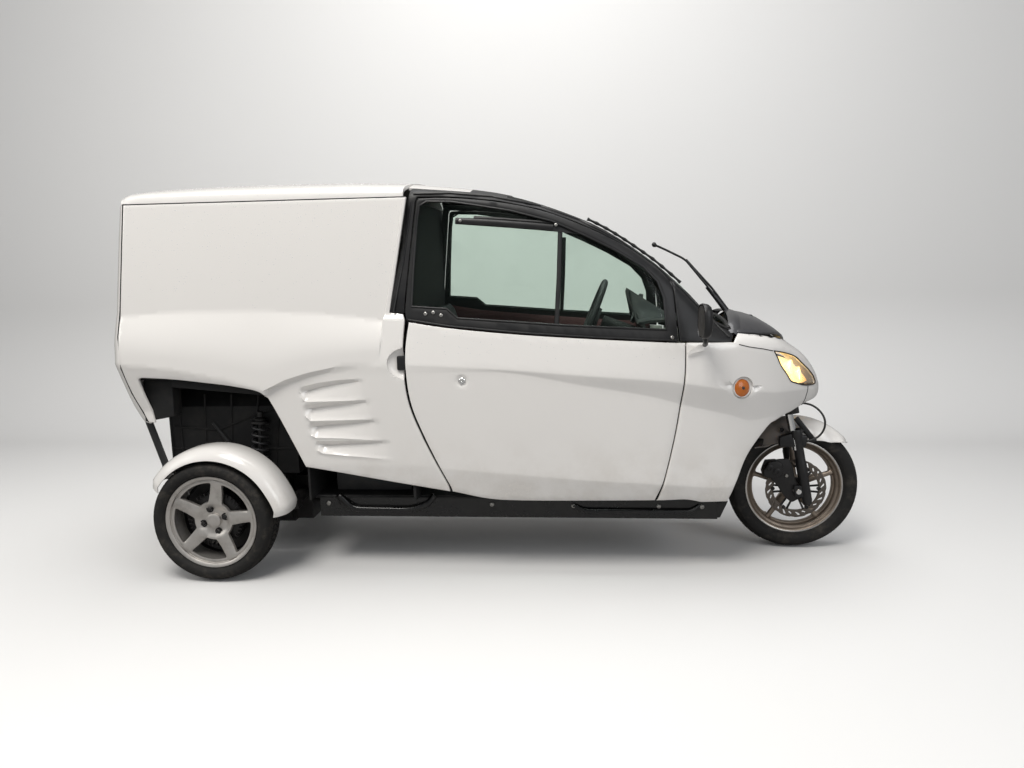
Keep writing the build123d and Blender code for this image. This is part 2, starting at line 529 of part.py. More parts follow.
fork_space = both_sides(rod(on_axis(150, LEG_AHEAD, LEG_Y), on_axis(CROWN_T + 1, LEG_AHEAD, LEG_Y), STANCHION_R + FIT))
parts["front_mudguard"] = guard_ring + (both_sides(tab) - fork_space)

DISC_Y = -66
DISC_R = 120
DISC_T = 4
CALIPER = (1078, 330)
caliper = slab((CALIPER[0] - 34, CALIPER[0] + 36), (DISC_Y - 26, DISC_Y + 14), (CALIPER[1] - 42, CALIPER[1] + 42))
caliper -= disc(FRONT_X, FRONT_R, DISC_R + 4, DISC_Y - 5.5, DISC_Y + 5.5)
plate_y = -LEG_Y + 6
bracket = prism([(CALIPER[0] - 20, CALIPER[1] - 20), (CALIPER[0] - 20, CALIPER[1] + 24), on_axis(92, LEG_AHEAD)[::2],
                 on_axis(44, LEG_AHEAD)[::2]], plate_y - 2, plate_y + 6)
bracket -= rod(on_axis(-62, LEG_AHEAD, -LEG_Y), on_axis(205, LEG_AHEAD, -LEG_Y), LEG_R + FIT)
parts["brake_caliper"] = caliper + bracket

# Front wheel and brake disc
bead_front = FRONT_LIP - 14
parts["front_tyre"] = tyre(FRONT_X, FRONT_R, 0, FRONT_R, FRONT_W, bead_front + FIT, FRONT_LIP, FRONT_RIM_W)
front_rim = rim_barrel(bead_front, FRONT_LIP, FRONT_RIM_W) + spoke_star(34, bead_front - 16, 30, 20, 18, 0, 19, SPOKES)
front_rim += disc(0, 0, 36, -62, 62)
front_rim -= disc(0, 0, AXLE_FRONT_R + FIT, -80, 80)
parts["front_rim"] = Pos(FRONT_X, 0, FRONT_R) * front_rim
rotor = disc(0, 0, DISC_R, -DISC_T / 2, DISC_T / 2) - disc(0, 0, 78, -5, 5)
for ring_r, count, turn in ((88, 18, 0), (99, 18, 7), (110, 18, 14)):
    for i in range(count):
        angle = radians(turn + 360 * i / count)
        rotor -= disc(ring_r * cos(angle), ring_r * sin(angle), 3.2, -5, 5)
rotor += disc(0, 0, 44, -DISC_T / 2, DISC_T / 2)
for i in range(6):
    arm = prism([(34, -9), (34, 9), (82, 6), (82, -6)], -DISC_T / 2, DISC_T / 2)
    rotor += Rot(0, 60 * i, 0) * arm
rotor -= disc(0, 0, AXLE_FRONT_R + 6, -5, 5)
parts["brake_disc"] = Pos(FRONT_X, DISC_Y + 2, FRONT_R) * rotor

HOSE_R = 4
hose_route = [on_axis(349, CROWN_FRONT, -76), on_axis(344, CROWN_FRONT + 32, -78), (1244, -86, 598), (1276, -93, 564),
              (1284, -100, 526), (1270, -100, 488), (1238, -99, 464), (1200.6, -98, 456)]


def arc_radii(route):
    """Largest even arcs at the inner corners of a route."""
    radii = []
    for before, at, after in zip(route, route[1:], route[2:]):
        one, two = Vector(*at) - Vector(*before), Vector(*after) - Vector(*at)
        half_turn = radians(one.get_angle(two)) / 2
        radii.append(0.45 * min(one.length, two.length) / tan(half_turn))
    return radii


hose_radii = arc_radii(hose_route)
hose_line = FilletPolyline(*hose_route, radius=hose_radii)
hose = sweep(Plane(hose_line @ 0, z_dir=hose_line % 0) * Circle(HOSE_R), hose_line)
print("hose radii", [round(r) for r in hose_radii], "length", round(hose_line.length),
      "volume against section", round(hose.volume / (hose_line.length * 3.14159 * HOSE_R ** 2), 4))
parts["brake_hose"] = hose

# Steering wheel and column, dashboard and seat
WHEEL_AT = Vector(374, 0, 953)
WHEEL_AXIS = Vector(0.927, 0, -0.374)
WHEEL_R = 150
turning = Plane(WHEEL_AT, x_dir=Vector(0, 1, 0), z_dir=WHEEL_AXIS)
steering_wheel = turning * Torus(WHEEL_R, 14)
for angle in (0, 180, 270):
    steering_wheel += turning * Rot(0, 0, angle) * Pos(WHEEL_R / 2, 0, 14) * Box(WHEEL_R, 30, 12)
steering_wheel += turning * Pos(0, 0, 16) * Cylinder(48, 40)
steering_wheel += turning * Pos(0, 0, 110) * Cylinder(11, 190)
parts["steering_wheel"] = steering_wheel
column_start = WHEEL_AT + WHEEL_AXIS * 60
column_end = WHEEL_AT + WHEEL_AXIS * 300
column = rod(tuple(column_start), tuple(column_end), 30) - rod(tuple(column_start - WHEEL_AXIS), tuple(WHEEL_AT + WHEEL_AXIS * 212), 11 + FIT)
DASH = [(640, 700), (600, 800), (575, 900), (556, 940), (585, 955), (640, 965), (700, 955), (800, 935), (862, 905),
        (862, 620), (700, 640)]
HOOD = [(514, 1059), (526, 1071), (650, 992), (700, 975), (740, 945), (560, 940)]
DASH_Y = 290
HOOD_Y = 140
DASH_COVER = 46           # clearance under the cabin skin, glass included
dash = prism(DASH, -DASH_Y, DASH_Y) + prism(HOOD, -HOOD_Y, HOOD_Y)
dash &= cabin_form(DASH_COVER, last=7)
dash -= rod(tuple(column_start), tuple(column_end), 30)
parts["steering_column"] = column
parts["dashboard"] = dash
plinth = slab((-190, 230), (-170, 170), (FLOOR_Z + FLOOR_T, 400))
parts["seat_plinth"] = plinth
seat_base = prism([(-200, 400), (-200, 450), (-160, 490), (230, 520), (268, 490), (262, 425), (230, 400)], -210, 210)
seat_back = prism([(-204, 492), (-276, 930), (-268, 1010), (-230, 1030), (-190, 1010), (-100, 494.9), (-160, 490.3)], -190, 190)
parts["seat_base"] = seat_base
parts["seat_back"] = seat_back

# Mirrors, wiper, cowl vent, tail lamps and the bar behind the mudguard
mirror_foot = bar((748, 335, 935), (752, 430, 925), 20, 20)
mirror_head = Pos(752, 480, 965) * Rot(0, 12, 0) * Box(44, 120, 140)
parts["mirrors"] = both_sides(fillet(mirror_head.edges(), 16) + mirror_foot - outer)
wiper = bar((925, -20, 960), (835, -20, 1070), 14, 8) + bar((835, -20, 1070), (742, -20, 1170), 12, 6)
parts["wiper"] = wiper - outer


def main():
    os.makedirs("parts", exist_ok=True)
    for name, shape in parts.items():
        export_step(shape, f"parts/{name}.step")
        print(name, len(shape.solids()), round(shape.volume / 1e6, 3))


main()
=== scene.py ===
"""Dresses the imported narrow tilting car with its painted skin, glass, wheels, fork, cabin and studio."""
import json
import math

import bmesh
import bpy
import numpy as np
from bpy.props import FloatProperty, FloatVectorProperty, IntProperty, PointerProperty
from mathutils import Matrix, Vector
from mathutils.geometry import delaunay_2d_cdt

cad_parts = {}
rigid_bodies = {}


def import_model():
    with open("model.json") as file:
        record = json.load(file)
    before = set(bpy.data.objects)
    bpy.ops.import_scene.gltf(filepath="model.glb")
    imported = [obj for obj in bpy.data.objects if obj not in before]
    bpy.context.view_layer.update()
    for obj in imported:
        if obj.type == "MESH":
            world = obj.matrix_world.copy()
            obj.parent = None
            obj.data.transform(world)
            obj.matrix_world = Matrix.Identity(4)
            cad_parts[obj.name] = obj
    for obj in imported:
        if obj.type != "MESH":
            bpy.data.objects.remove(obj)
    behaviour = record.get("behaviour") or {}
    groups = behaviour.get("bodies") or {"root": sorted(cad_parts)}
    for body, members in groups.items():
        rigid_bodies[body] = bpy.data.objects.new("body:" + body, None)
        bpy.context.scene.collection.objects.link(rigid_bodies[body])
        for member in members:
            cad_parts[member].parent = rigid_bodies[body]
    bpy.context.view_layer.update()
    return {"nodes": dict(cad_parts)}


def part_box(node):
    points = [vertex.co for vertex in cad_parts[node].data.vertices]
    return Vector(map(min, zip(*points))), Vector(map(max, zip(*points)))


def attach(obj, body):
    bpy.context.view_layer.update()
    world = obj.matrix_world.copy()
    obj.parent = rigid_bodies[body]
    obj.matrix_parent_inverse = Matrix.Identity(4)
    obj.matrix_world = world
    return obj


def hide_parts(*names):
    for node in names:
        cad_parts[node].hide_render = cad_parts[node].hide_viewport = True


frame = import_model()

bl_info = {
    "name": "Tilting cargo car dresser",
    "version": (1, 0, 0),
    "blender": (4, 5, 0),
    "location": "3D View > Sidebar > Cargo car",
    "description": "Builds the skin, glass, wheels and fittings of a narrow tilting car on its packed frame",
    "category": "Object",
}

MM = 0.001
LEAN = math.radians(11)
HUB_FRONT = Vector((1.188, 0, 0.257))
HUB_REAR = {"left": Vector((-1.060, 0.418, 0.235)), "right": Vector((-1.060, -0.418, 0.235))}
SIDES = {"left": 1, "right": -1}
ORIGIN = (0, 0, 0)
UP = Vector((0, 0, 1))
STEER_X, STEER_Z = 1.190, 0.257        # foot of the raked steering axis, m
PROBE = 0.0015                         # step that finds a surface's normal, m
TINY = 1e-6

# Body sections in mm: x, crown z, roof edge y z, shoulder y z, waist crease y z, wedge crease y z,
# lower crease y z, bottom edge y z
BODY = (
    (-290, 1486, 360, 1440, 422, 975, 440, 820, 436, 792, 410, 440, 384, 297),
    (0, 1449, 354, 1413, 425, 940, 440, 804, 436, 794, 413, 415, 384, 297),
    (350, 1336, 346, 1306, 418, 908, 434, 775, 419, 737, 405, 385, 376, 297),
    (600, 1183, 336, 1144, 400, 893, 414, 753, 390, 688, 388, 366, 366, 297),
    (700, 1100, 330, 1052, 386, 886, 398, 740, 369, 658, 371, 355, 352, 297),
    (870, 952, 318, 905, 345, 880, 360, 710, 326, 612, 334, 341, 318, 262),
    (960, 955, 280, 895, 305, 862, 322, 697, 291, 585, 295, 440, 290, 300),
    (1050, 912, 235, 866, 250, 836, 268, 684, 243, 590, 242, 575, 236, 556),
    (1130, 855, 165, 828, 182, 795, 200, 678, 182, 620, 177, 605, 168, 590),
    (1200, 803, 95, 785, 112, 752, 130, 672, 118, 636, 112, 624, 100, 612),
    (1264, 712, 30, 705, 40, 692, 52, 661, 47, 645, 41, 636, 32, 628),
    (1279, 668, 6, 667, 9, 665, 12, 658, 10, 652, 8, 648, 5, 645),
)
ROUNDING = (0, 100, 26, 22, 5, 5, 6, 0)       # softening of each section corner, mm


class Flow:
    """Monotone smooth curve through the points of one column."""

    def __init__(self, xs, ys):
        steps = [b - a for a, b in zip(xs, xs[1:])]
        rise = [(b - a) / h for a, b, h in zip(ys, ys[1:], steps)]
        slope = [rise[0]]
        for (h0, h1), (d0, d1) in zip(zip(steps, steps[1:]), zip(rise, rise[1:])):
            w0, w1 = 2 * h1 + h0, h1 + 2 * h0
            slope.append(0 if d0 * d1 <= 0 else (w0 + w1) / (w0 / d0 + w1 / d1))
        slope.append(rise[-1])
        self.xs, self.ys, self.slope = xs, ys, slope

    def __call__(self, x):
        xs = self.xs
        i = min(max(np.searchsorted(xs, x) - 1, 0), len(xs) - 2)
        h = xs[i + 1] - xs[i]
        t = min(max((x - xs[i]) / h, 0), 1)
        a, b = self.ys[i], self.ys[i + 1]
        return ((1 + 2 * t) * (1 - t) ** 2 * a + t * (1 - t) ** 2 * h * self.slope[i]
                + t * t * (3 - 2 * t) * b + t * t * (t - 1) * h * self.slope[i + 1])


COLUMNS = [Flow([row[0] * MM for row in BODY], [row[c] * MM for row in BODY]) for c in range(1, 14)]
CREASE_HEIGHTS = (6, 8, 10)            # columns with the heights of the waist, wedge and lower creases


def corner(a, b, c, radius, steps, share=0.45):
    """Points round the corner at b, from radius before it to radius after it, or less on short sides."""
    cut = min(radius, share * (a - b).length, share * (c - b).length)
    p, q = b + (a - b).normalized() * cut, b + (c - b).normalized() * cut
    return [p * (1 - t) ** 2 + b * 2 * t * (1 - t) + q * t * t for t in (k / steps for k in range(steps + 1))]


def half_section(x):
    """Half section at x: arc length from the roof edge, y and z of a softened polyline."""
    crown, *rest = [column(x) for column in COLUMNS]
    corners = [(rest[i], rest[i + 1]) for i in range(0, 12, 2)]
    ry, rz = corners[0]
    corners = [Vector(c) for c in [(0, crown), (0.62 * ry, rz + 0.78 * (crown - rz))] + corners]
    points, edge = [corners[0]], 0
    for i in range(1, 7):
        points += corner(*corners[i - 1:i + 2], ROUNDING[i] * MM, 6)
        if i == 2:
            edge = len(points) - 4
    points.append(corners[7])
    lengths = [0.0]
    for a, b in zip(points, points[1:]):
        lengths.append(lengths[-1] + (b - a).length)
    return (np.array(lengths) - lengths[edge], np.array([p.x for p in points]), np.array([p.y for p in points]))


STATIONS = np.linspace(-0.290, 1.279, 420)
SECTIONS = np.array([half_section(float(x)) for x in STATIONS])


def section(x):
    """Arc length, y and z round the half section at x, read between the stations."""
    at = min(max((x - STATIONS[0]) / (STATIONS[1] - STATIONS[0]), 0), len(STATIONS) - 1.000001)
    i = int(at)
    return SECTIONS[i] * (1 - at + i) + SECTIONS[i + 1] * (at - i)


def skin(x, s):
    """Point of the cabin skin on the left side, s metres round the section from the roof edge."""
    lengths, ys, zs = section(x)
    return Vector((x, float(np.interp(s, lengths, ys)), float(np.interp(s, lengths, zs))))


def s_at_height(x, z):
    """Arc length from the roof edge to a height."""
    lengths, _, zs = section(x)
    return float(np.interp(-z, -zs, lengths))


def s_at_width(x, y):
    """Arc length from the roof edge to a half width, over the top."""
    lengths, ys, _ = section(x)
    top = int(np.argmax(ys > y)) if ys.max() > y else len(ys) - 1
    return float(np.interp(y, ys[:top + 1], lengths[:top + 1]))


def side_y(x, z):
    """Half width of the cabin skin at a height."""
    _, ys, zs = section(x)
    return float(np.interp(-z, -zs, ys))


def creases(turn, low, high, sign=1):
    """Plan lines along the waist, wedge and lower creases, from low to high in x."""
    spots = [low + (high - low) * k / 60 for k in range(61)]
    return [[Vector((x, sign * turn(x, COLUMNS[column](x) + off))) for x in spots]
            for column in CREASE_HEIGHTS for off in (-0.0042, 0.0, 0.0042)]


def over_top(x, v):
    """Skin at v metres from the centreline round the section, on the left for v above 0."""
    at = skin(x, abs(v) + section(x)[0][0])
    return at if v >= 0 else Vector((at.x, -at.y, at.z))


def v_at(x, z):
    """Distance from the centreline, round the section, of the side at a height."""
    return s_at_height(x, z) - section(x)[0][0]


def side_loop(points, turn=s_at_height):
    """Closed side outline in mm, x and z, softened and turned into x and arc length. A third value marks a corner."""
    flat = walk(rounded([(x * MM, z * MM, *mark) for x, z, *mark in points]), 0.014)
    return [Vector((p.x, turn(p.x, p.y))) for p in flat]


def side_line(points, turn=s_at_height):
    """Open side polyline in mm turned into x and arc length."""
    return [Vector((p.x, turn(p.x, p.y))) for p in walk([Vector(q) * MM for q in points], 0.014, False)]


def rounded(points, steps=6):
    """Closed loop through points, smooth except at corners marked by a third value."""
    count = len(points)
    flat = [Vector(p[:2]) for p in points]
    sharp = [len(p) > 2 for p in points]
    loop = []
    for i in range(count):
        a, b = flat[i], flat[(i + 1) % count]
        loop.append(a)
        if sharp[i] and sharp[(i + 1) % count]:
            continue
        before = a - (b - a) * 0.5 if sharp[i] else flat[i - 1]
        after = b + (b - a) * 0.5 if sharp[(i + 1) % count] else flat[(i + 2) % count]
        for k in range(1, steps):
            t = k / steps
            t0, t1 = (b - before) * 0.5, (after - a) * 0.5
            ratio = (b - a).length
            t0 = t0 * min(1, 1.2 * ratio / max(t0.length, 1e-9))
            t1 = t1 * min(1, 1.2 * ratio / max(t1.length, 1e-9))
            loop.append(a * (2 * t ** 3 - 3 * t * t + 1) + t0 * (t ** 3 - 2 * t * t + t)
                        + b * (3 * t * t - 2 * t ** 3) + t1 * (t ** 3 - t * t))
    return loop


def walk(loop, step, closed=True):
    """Points along a polyline, no further apart than step."""
    out = []
    ends = zip(loop, loop[1:] + loop[:1]) if closed else zip(loop, loop[1:])
    for a, b in ends:
        count = max(1, math.ceil((b - a).length / step))
        out += [a.lerp(b, k / count) for k in range(count)]
    if not closed:
        out.append(loop[-1])
    return out


def area_of(loop):
    """Signed area of a closed loop."""
    return 0.5 * sum(a.x * b.y - b.x * a.y for a, b in zip(loop, loop[1:] + loop[:1]))


def grow(loop, distance):
    """Closed loop moved outwards by a distance, or inwards by a negative one."""
    turn = 1 if area_of(loop) > 0 else -1
    out = []
    for before, at, after in zip(loop[-1:] + loop[:-1], loop, loop[1:] + loop[:1]):
        one, two = (at - before).normalized(), (after - at).normalized()
        normal = Vector((one.y + two.y, -one.x - two.x)) * turn
        scale = normal.length_squared / 4
        out.append(at + normal / 2 * distance / max(scale, 0.35))
    return out


def table(points):
    """Array of points, one row each."""
    return np.array([tuple(p) for p in points])


def turns(count, last=0):
    """Angles of a full turn in count steps, with the closing one when last is 1."""
    return [2 * math.pi * k / count for k in range(count + last)]


def inside(points, loops):
    """Even-odd test of an array of points against closed loops."""
    hit = np.zeros(len(points), bool)
    for loop in loops:
        ring = table(loop)
        for (ax, ay), (bx, by) in zip(ring, np.roll(ring, -1, axis=0)):
            crosses = (ay > points[:, 1]) != (by > points[:, 1])
            with np.errstate(divide="ignore", invalid="ignore"):
                at = (bx - ax) * (points[:, 1] - ay) / (by - ay) + ax
            hit ^= crosses & (points[:, 0] < at)
    return hit


def reach(points, lines):
    """Distance of each point to the nearest of a set of polylines."""
    best = np.full(len(points), 1e9)
    for line, closed in lines:
        ring = table(line)
        ends = np.roll(ring, -1, axis=0) if closed else ring[1:]
        for a, b in zip(ring, ends):
            d = b - a
            t = np.clip(((points - a) @ d) / max(d @ d, 1e-12), 0, 1)
            best = np.minimum(best, np.linalg.norm(points - a - t[:, None] * d, axis=1))
    return best


def panel(place, outline, holes=(), cell=0.024, wall=0.018, roll=0.003, lines=(), out=1):
    """Closed shell over a plan outline. place(u, v) gives the outer surface, its edges are rolled in
    by roll, wall is its thickness, lines are plan polylines that the mesh follows, and out is -1
    where u cross v points inwards."""
    loops = [walk(list(loop), cell) for loop in [outline, *holes]]
    rims = [(loop, True) for loop in loops]
    points, edges = [], []

    def add(loop, closed):
        start = len(points)
        points.extend(loop)
        edges.extend((start + i, start + i + 1) for i in range(len(loop) - 1))
        if closed:
            edges.append((start + len(loop) - 1, start))

    for i, loop in enumerate(loops):
        add(loop, True)
        if roll:
            for share in (0.3, 1.0):
                add(grow(loop, (1 if i else -1) * roll * share), True)
    drawn = []
    for line in lines:
        line = walk([Vector(p) for p in line], cell * 0.7, False)
        drawn.append((line, False))
        free = inside(table(line), loops) & (reach(table(line), rims) > roll + 1e-4)
        run = []
        for p, ok in zip(line, free):
            if ok:
                run.append(p)
            elif run:
                add(run, False)
                run = []
        if run:
            add(run, False)
    low, high = table(loops[0]).min(axis=0), table(loops[0]).max(axis=0)
    rows = max(1, round((high[1] - low[1]) / (cell * 0.9)))
    grid = []
    for j in range(1, rows):
        v = low[1] + (high[1] - low[1]) * j / rows
        shift = 0.5 * cell * (j % 2)
        grid += [(u, v) for u in np.arange(low[0] + cell * 0.5 + shift, high[0], cell)]
    if grid:
        grid = np.array(grid)
        ok = inside(grid, loops) & (reach(grid, rims) > roll + 0.35 * cell)
        if drawn:
            ok &= reach(grid, drawn) > 0.3 * cell
        points += [Vector(p) for p in grid[ok]]
    found, _, faces, *_ = delaunay_2d_cdt(points, edges, [], 0, TINY)
    flat = table(found)
    middles = np.array([flat[list(f)].mean(axis=0) for f in faces])
    faces = [f for f, ok in zip(faces, inside(middles, loops)) if ok]
    depth = reach(flat, rims)
    drop = np.where(depth < roll, roll * (1 - np.sqrt(np.clip(1 - (1 - depth / max(roll, 1e-9)) ** 2, 0, 1))), 0)
    bm = bmesh.new()
    outer, inner = [], []
    for (u, v), d in zip(flat, drop):
        at = place(u, v)
        normal = (place(u + PROBE, v) - place(u - PROBE, v)).cross(place(u, v + PROBE) - place(u, v - PROBE))
        normal = normal.normalized() * out if normal.length > 1e-12 else Vector((1, 0, 0))
        outer.append(bm.verts.new(at - normal * d))
        inner.append(bm.verts.new(at - normal * wall))
    for f in faces:
        bm.faces.new([outer[i] for i in f])
        bm.faces.new([inner[i] for i in reversed(f)])
    sides = [side for f in faces for side in zip(f, f[1:] + f[:1])]
    counts = {}
    for side in sides:
        counts[frozenset(side)] = counts.get(frozenset(side), 0) + 1
    for a, b in sides:
        if counts[frozenset((a, b))] == 1:
            bm.faces.new((outer[b], outer[a], inner[a], inner[b]))
    bmesh.ops.delete(bm, geom=[v for v in bm.verts if not v.link_faces], context="VERTS")
    return bm


def mirrored(bm):
    """Copy of a mesh on the other side of the car."""
    other = bm.copy()
    for v in other.verts:
        v.co.y = -v.co.y
    bmesh.ops.reverse_faces(other, faces=other.faces)
    return other


def merged(*parts):
    """One mesh from several, which are used up."""
    whole = bmesh.new()
    for part in parts:
        mesh = bpy.data.meshes.new("join")
        part.to_mesh(mesh)
        whole.from_mesh(mesh)
        bpy.data.meshes.remove(mesh)
        part.free()
    return whole


def paired(bm):
    """The left-hand mesh and its mirror image as one."""
    return merged(mirrored(bm), bm)


def on_side(bm, side):
    """The left-hand mesh as it is, or its mirror image for the right."""
    if side == "left":
        return bm
    other = mirrored(bm)
    bm.free()
    return other


def put(name, data):
    """New object in the scene."""
    made = bpy.data.objects.new(name, data)
    bpy.context.scene.collection.objects.link(made)
    return made


def piece(name, bm, material, body, nodes=(), sharp=35):
    """Finished object from a mesh: shaded, coloured and riding on its body."""
    bmesh.ops.recalc_face_normals(bm, faces=bm.faces)
    mesh = bpy.data.meshes.new(name)
    bm.to_mesh(mesh)
    bm.free()
    return settle(name, mesh, material, body, nodes, sharp)


def settle(name, mesh, material, body, nodes=(), sharp=35):
    """Finished object from mesh data, smooth but for edges over an angle in degrees."""
    for polygon in mesh.polygons:
        polygon.use_smooth = True
    mesh.set_sharp_from_angle(angle=math.radians(sharp))
    mesh.materials.clear()
    mesh.materials.append(material)
    made = put(name, mesh)
    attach(made, body)
    if nodes:
        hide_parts(*nodes)
    return made


def lathe(profile, centre, axis="Y", steps=96):
    """Surface of revolution. profile holds radius and offset along the axis, and closes on itself."""
    bm = bmesh.new()
    rings = []
    for k in range(steps):
        angle = math.radians(360.0 * k / steps)
        c, s = math.cos(angle), math.sin(angle)
        ring = []
        for r, along in profile:
            local = {"Y": (r * c, along, r * s), "Z": (r * c, r * s, along), "X": (along, r * c, r * s)}[axis]
            ring.append(bm.verts.new(Vector(centre) + Vector(local)))
        rings.append(ring)
    for one, two in zip(rings, rings[1:] + rings[:1]):
        for i in range(len(profile)):
            j = (i + 1) % len(profile)
            bm.faces.new((one[i], one[j], two[j], two[i]))
    return cleaned(bm)


def cleaned(bm):
    """Mesh with its double points and its edges and faces without size taken out."""
    bmesh.ops.remove_doubles(bm, verts=bm.verts, dist=TINY)
    bmesh.ops.dissolve_degenerate(bm, edges=bm.edges, dist=TINY)
    return bm


def turned(profile, steps, matrix=None):
    """Surface of revolution about z, moved by a matrix."""
    bm = lathe(profile, ORIGIN, "Z", steps)
    if matrix:
        bm.transform(matrix)
    return bm


def standing(at, out):
    """Matrix that stands what is made along z at a point, along a direction."""
    return Matrix.Translation(at) @ UP.rotation_difference(out).to_matrix().to_4x4()


def sided(profile, s):
    """Lathe profile with its offsets to the left for s of 1, to the right for -1."""
    return [(r, y * s) for r, y in profile]


def tube(path, radius, steps=12, flat=1.0, across=Vector((0, 1, 0))):
    """Round or flattened bar along a polyline with closed ends. radius may be a list."""
    path = [Vector(p) for p in path]
    radii = radius if isinstance(radius, (list, tuple)) else [radius] * len(path)
    bm = bmesh.new()
    rings = []
    for i, at in enumerate(path):
        ahead = (path[min(i + 1, len(path) - 1)] - path[max(i - 1, 0)]).normalized()
        side = across - ahead * across.dot(ahead)
        side = side.normalized() if side.length > TINY else ahead.orthogonal().normalized()
        up = ahead.cross(side)
        rings.append([bm.verts.new(at + (side * math.cos(a) + up * math.sin(a) * flat) * radii[i])
                      for a in turns(steps)])
    for one, two in zip(rings, rings[1:]):
        for k in range(steps):
            bm.faces.new((one[k], one[(k + 1) % steps], two[(k + 1) % steps], two[k]))
    bm.faces.new(list(reversed(rings[0])))
    bm.faces.new(rings[-1])
    return bm


def bend(points, radius=0.02, steps=5):
    """Polyline with its inner corners rounded."""
    points = [Vector(p) for p in points]
    out = [points[0]]
    for a, b, c in zip(points, points[1:], points[2:]):
        out += corner(a, b, c, radius, steps)
    return out + [points[-1]]


def softened(bm, soft):
    """Mesh with its edges rounded."""
    bmesh.ops.bevel(bm, geom=bm.edges, offset=soft, segments=2, profile=0.5, affect="EDGES")
    return bm


def block(low, high, soft):
    """Box between two corners with rounded edges."""
    bm = bmesh.new()
    bmesh.ops.create_cube(bm, size=1)
    low, high = Vector(low), Vector(high)
    for v in bm.verts:
        v.co = Vector([(a + b) / 2 + c * (b - a) for a, b, c in zip(low, high, v.co)])
    return softened(bm, soft)


def plate(outline, low, high, plane, soft):
    """Flat outline given thickness across its plane, edges rounded."""
    bm = bmesh.new()

    def at(p, h):
        return (p[0], h, p[1]) if plane == "XZ" else (p[0], p[1], h)

    bottom = [bm.verts.new(at(p, low)) for p in outline]
    top = [bm.verts.new(at(p, high)) for p in outline]
    bm.faces.new(bottom)
    bm.faces.new(list(reversed(top)))
    for i in range(len(outline)):
        j = (i + 1) % len(outline)
        bm.faces.new((bottom[j], bottom[i], top[i], top[j]))
    bmesh.ops.recalc_face_normals(bm, faces=bm.faces)
    softened(bm, soft)
    bmesh.ops.triangulate(bm, faces=[f for f in bm.faces if len(f.verts) > 4])
    return bm


def on_steer(t, ahead=0.0, y=0.0):
    """Point at t along the raked steering axis from hub height, in metres."""
    return Vector((STEER_X - t * math.sin(LEAN) + ahead * math.cos(LEAN), y,
                   STEER_Z + t * math.cos(LEAN) + ahead * math.sin(LEAN)))


# Materials

def srgb(red, green, blue):
    """Colour as seen on screen, 0 to 255, as linear light."""
    return tuple(c / 12.92 if c <= 0.04045 else ((c + 0.055) / 1.055) ** 2.4
                 for c in (v / 255 for v in (red, green, blue)))


class Sock:
    """Shader socket with arithmetic."""

    def __init__(self, shader, socket):
        self.shader, self.socket = shader, socket

    def math(self, operation, a, b=0.0):
        """Result of a Math node."""
        return self.shader.node("ShaderNodeMath", {"operation": operation}, {0: a, 1: b})

    def __add__(self, other):
        return self.math("ADD", self, other)

    def __sub__(self, other):
        return self.math("SUBTRACT", self, other)

    def __mul__(self, other):
        return self.math("MULTIPLY", self, other)

    def __truediv__(self, other):
        return self.math("DIVIDE", self, other)

    def __radd__(self, other):
        return self.math("ADD", other, self)

    def __rsub__(self, other):
        return self.math("SUBTRACT", other, self)

    def __gt__(self, other):
        return self.math("GREATER_THAN", self, other)

    def power(self, other):
        return self.math("POWER", self, other)

    def least(self, other):
        return self.math("MINIMUM", self, other)

    def most(self, other):
        return self.math("MAXIMUM", self, other)

    def wave(self):
        return self.math("SINE", self)

    def ramp(self, low, high):
        """0 below low and 1 above high, smooth between."""
        return self.shader.node("ShaderNodeMapRange", {"interpolation_type": "SMOOTHSTEP"},
                                {"Value": self, "From Min": low, "From Max": high}, "Result")


class Shader:
    """One material: its node tree, its Principled shader and shorthand for the nodes that feed it."""

    def __init__(self, name, metallic=0.0, ior=1.5, coat=0.0, coat_roughness=0.05, specular=0.5):
        self.material = bpy.data.materials.new(name)
        self.material.use_nodes = True
        self.tree = self.material.node_tree
        self.surface = self.tree.nodes["Principled BSDF"]
        for key, value in {"Metallic": metallic, "IOR": ior, "Coat Weight": coat, "Specular IOR Level": specular,
                           "Coat Roughness": coat_roughness}.items():
            self.surface.inputs[key].default_value = value
        self.place = self.node("ShaderNodeTexCoord", out="Object")

    def node(self, kind, settings=None, values=None, out=0):
        """Any node: its settings first, then its socket values or links. Returns one output."""
        made = self.tree.nodes.new(kind)
        for key, value in (settings or {}).items():
            setattr(made, key, value)
        for key, value in (values or {}).items():
            if isinstance(value, Sock):
                self.tree.links.new(value.socket, made.inputs[key])
            else:
                made.inputs[key].default_value = value
        return Sock(self, made.outputs[out])

    def feed(self, **links):
        """Links varying values to the Principled shader: base_color, roughness, normal and so on."""
        for key, value in links.items():
            self.tree.links.new(value.socket, self.surface.inputs[key.replace("_", " ").title()])

    def noise(self, scale, detail, rough=0.5):
        """Soft noise, 0 to 1."""
        return self.node("ShaderNodeTexNoise", {"noise_dimensions": "3D"},
                         {"Vector": self.place, "Scale": scale, "Detail": detail, "Roughness": rough}, "Fac")

    def cells(self, scale, out="Distance"):
        """Scattered cells: the distance to the nearest, or its own random colour."""
        return self.node("ShaderNodeTexVoronoi", {"feature": "F1"}, {"Vector": self.place, "Scale": scale}, out)

    def axis(self, name):
        """X, Y or Z of the point shaded."""
        return self.node("ShaderNodeSeparateXYZ", values={0: self.place}, out=name)

    def blend(self, factor, one, two):
        """Colour between two, by factor."""
        one, two = (c if isinstance(c, Sock) else (*c, 1.0) for c in (one, two))
        return self.node("ShaderNodeMix", {"data_type": "RGBA"}, {0: factor, 6: one, 7: two}, 2)

    def bump(self, height, distance, strength):
        """Normal bent by a height."""
        return self.node("ShaderNodeBump", values={"Height": height, "Distance": distance, "Strength": strength})


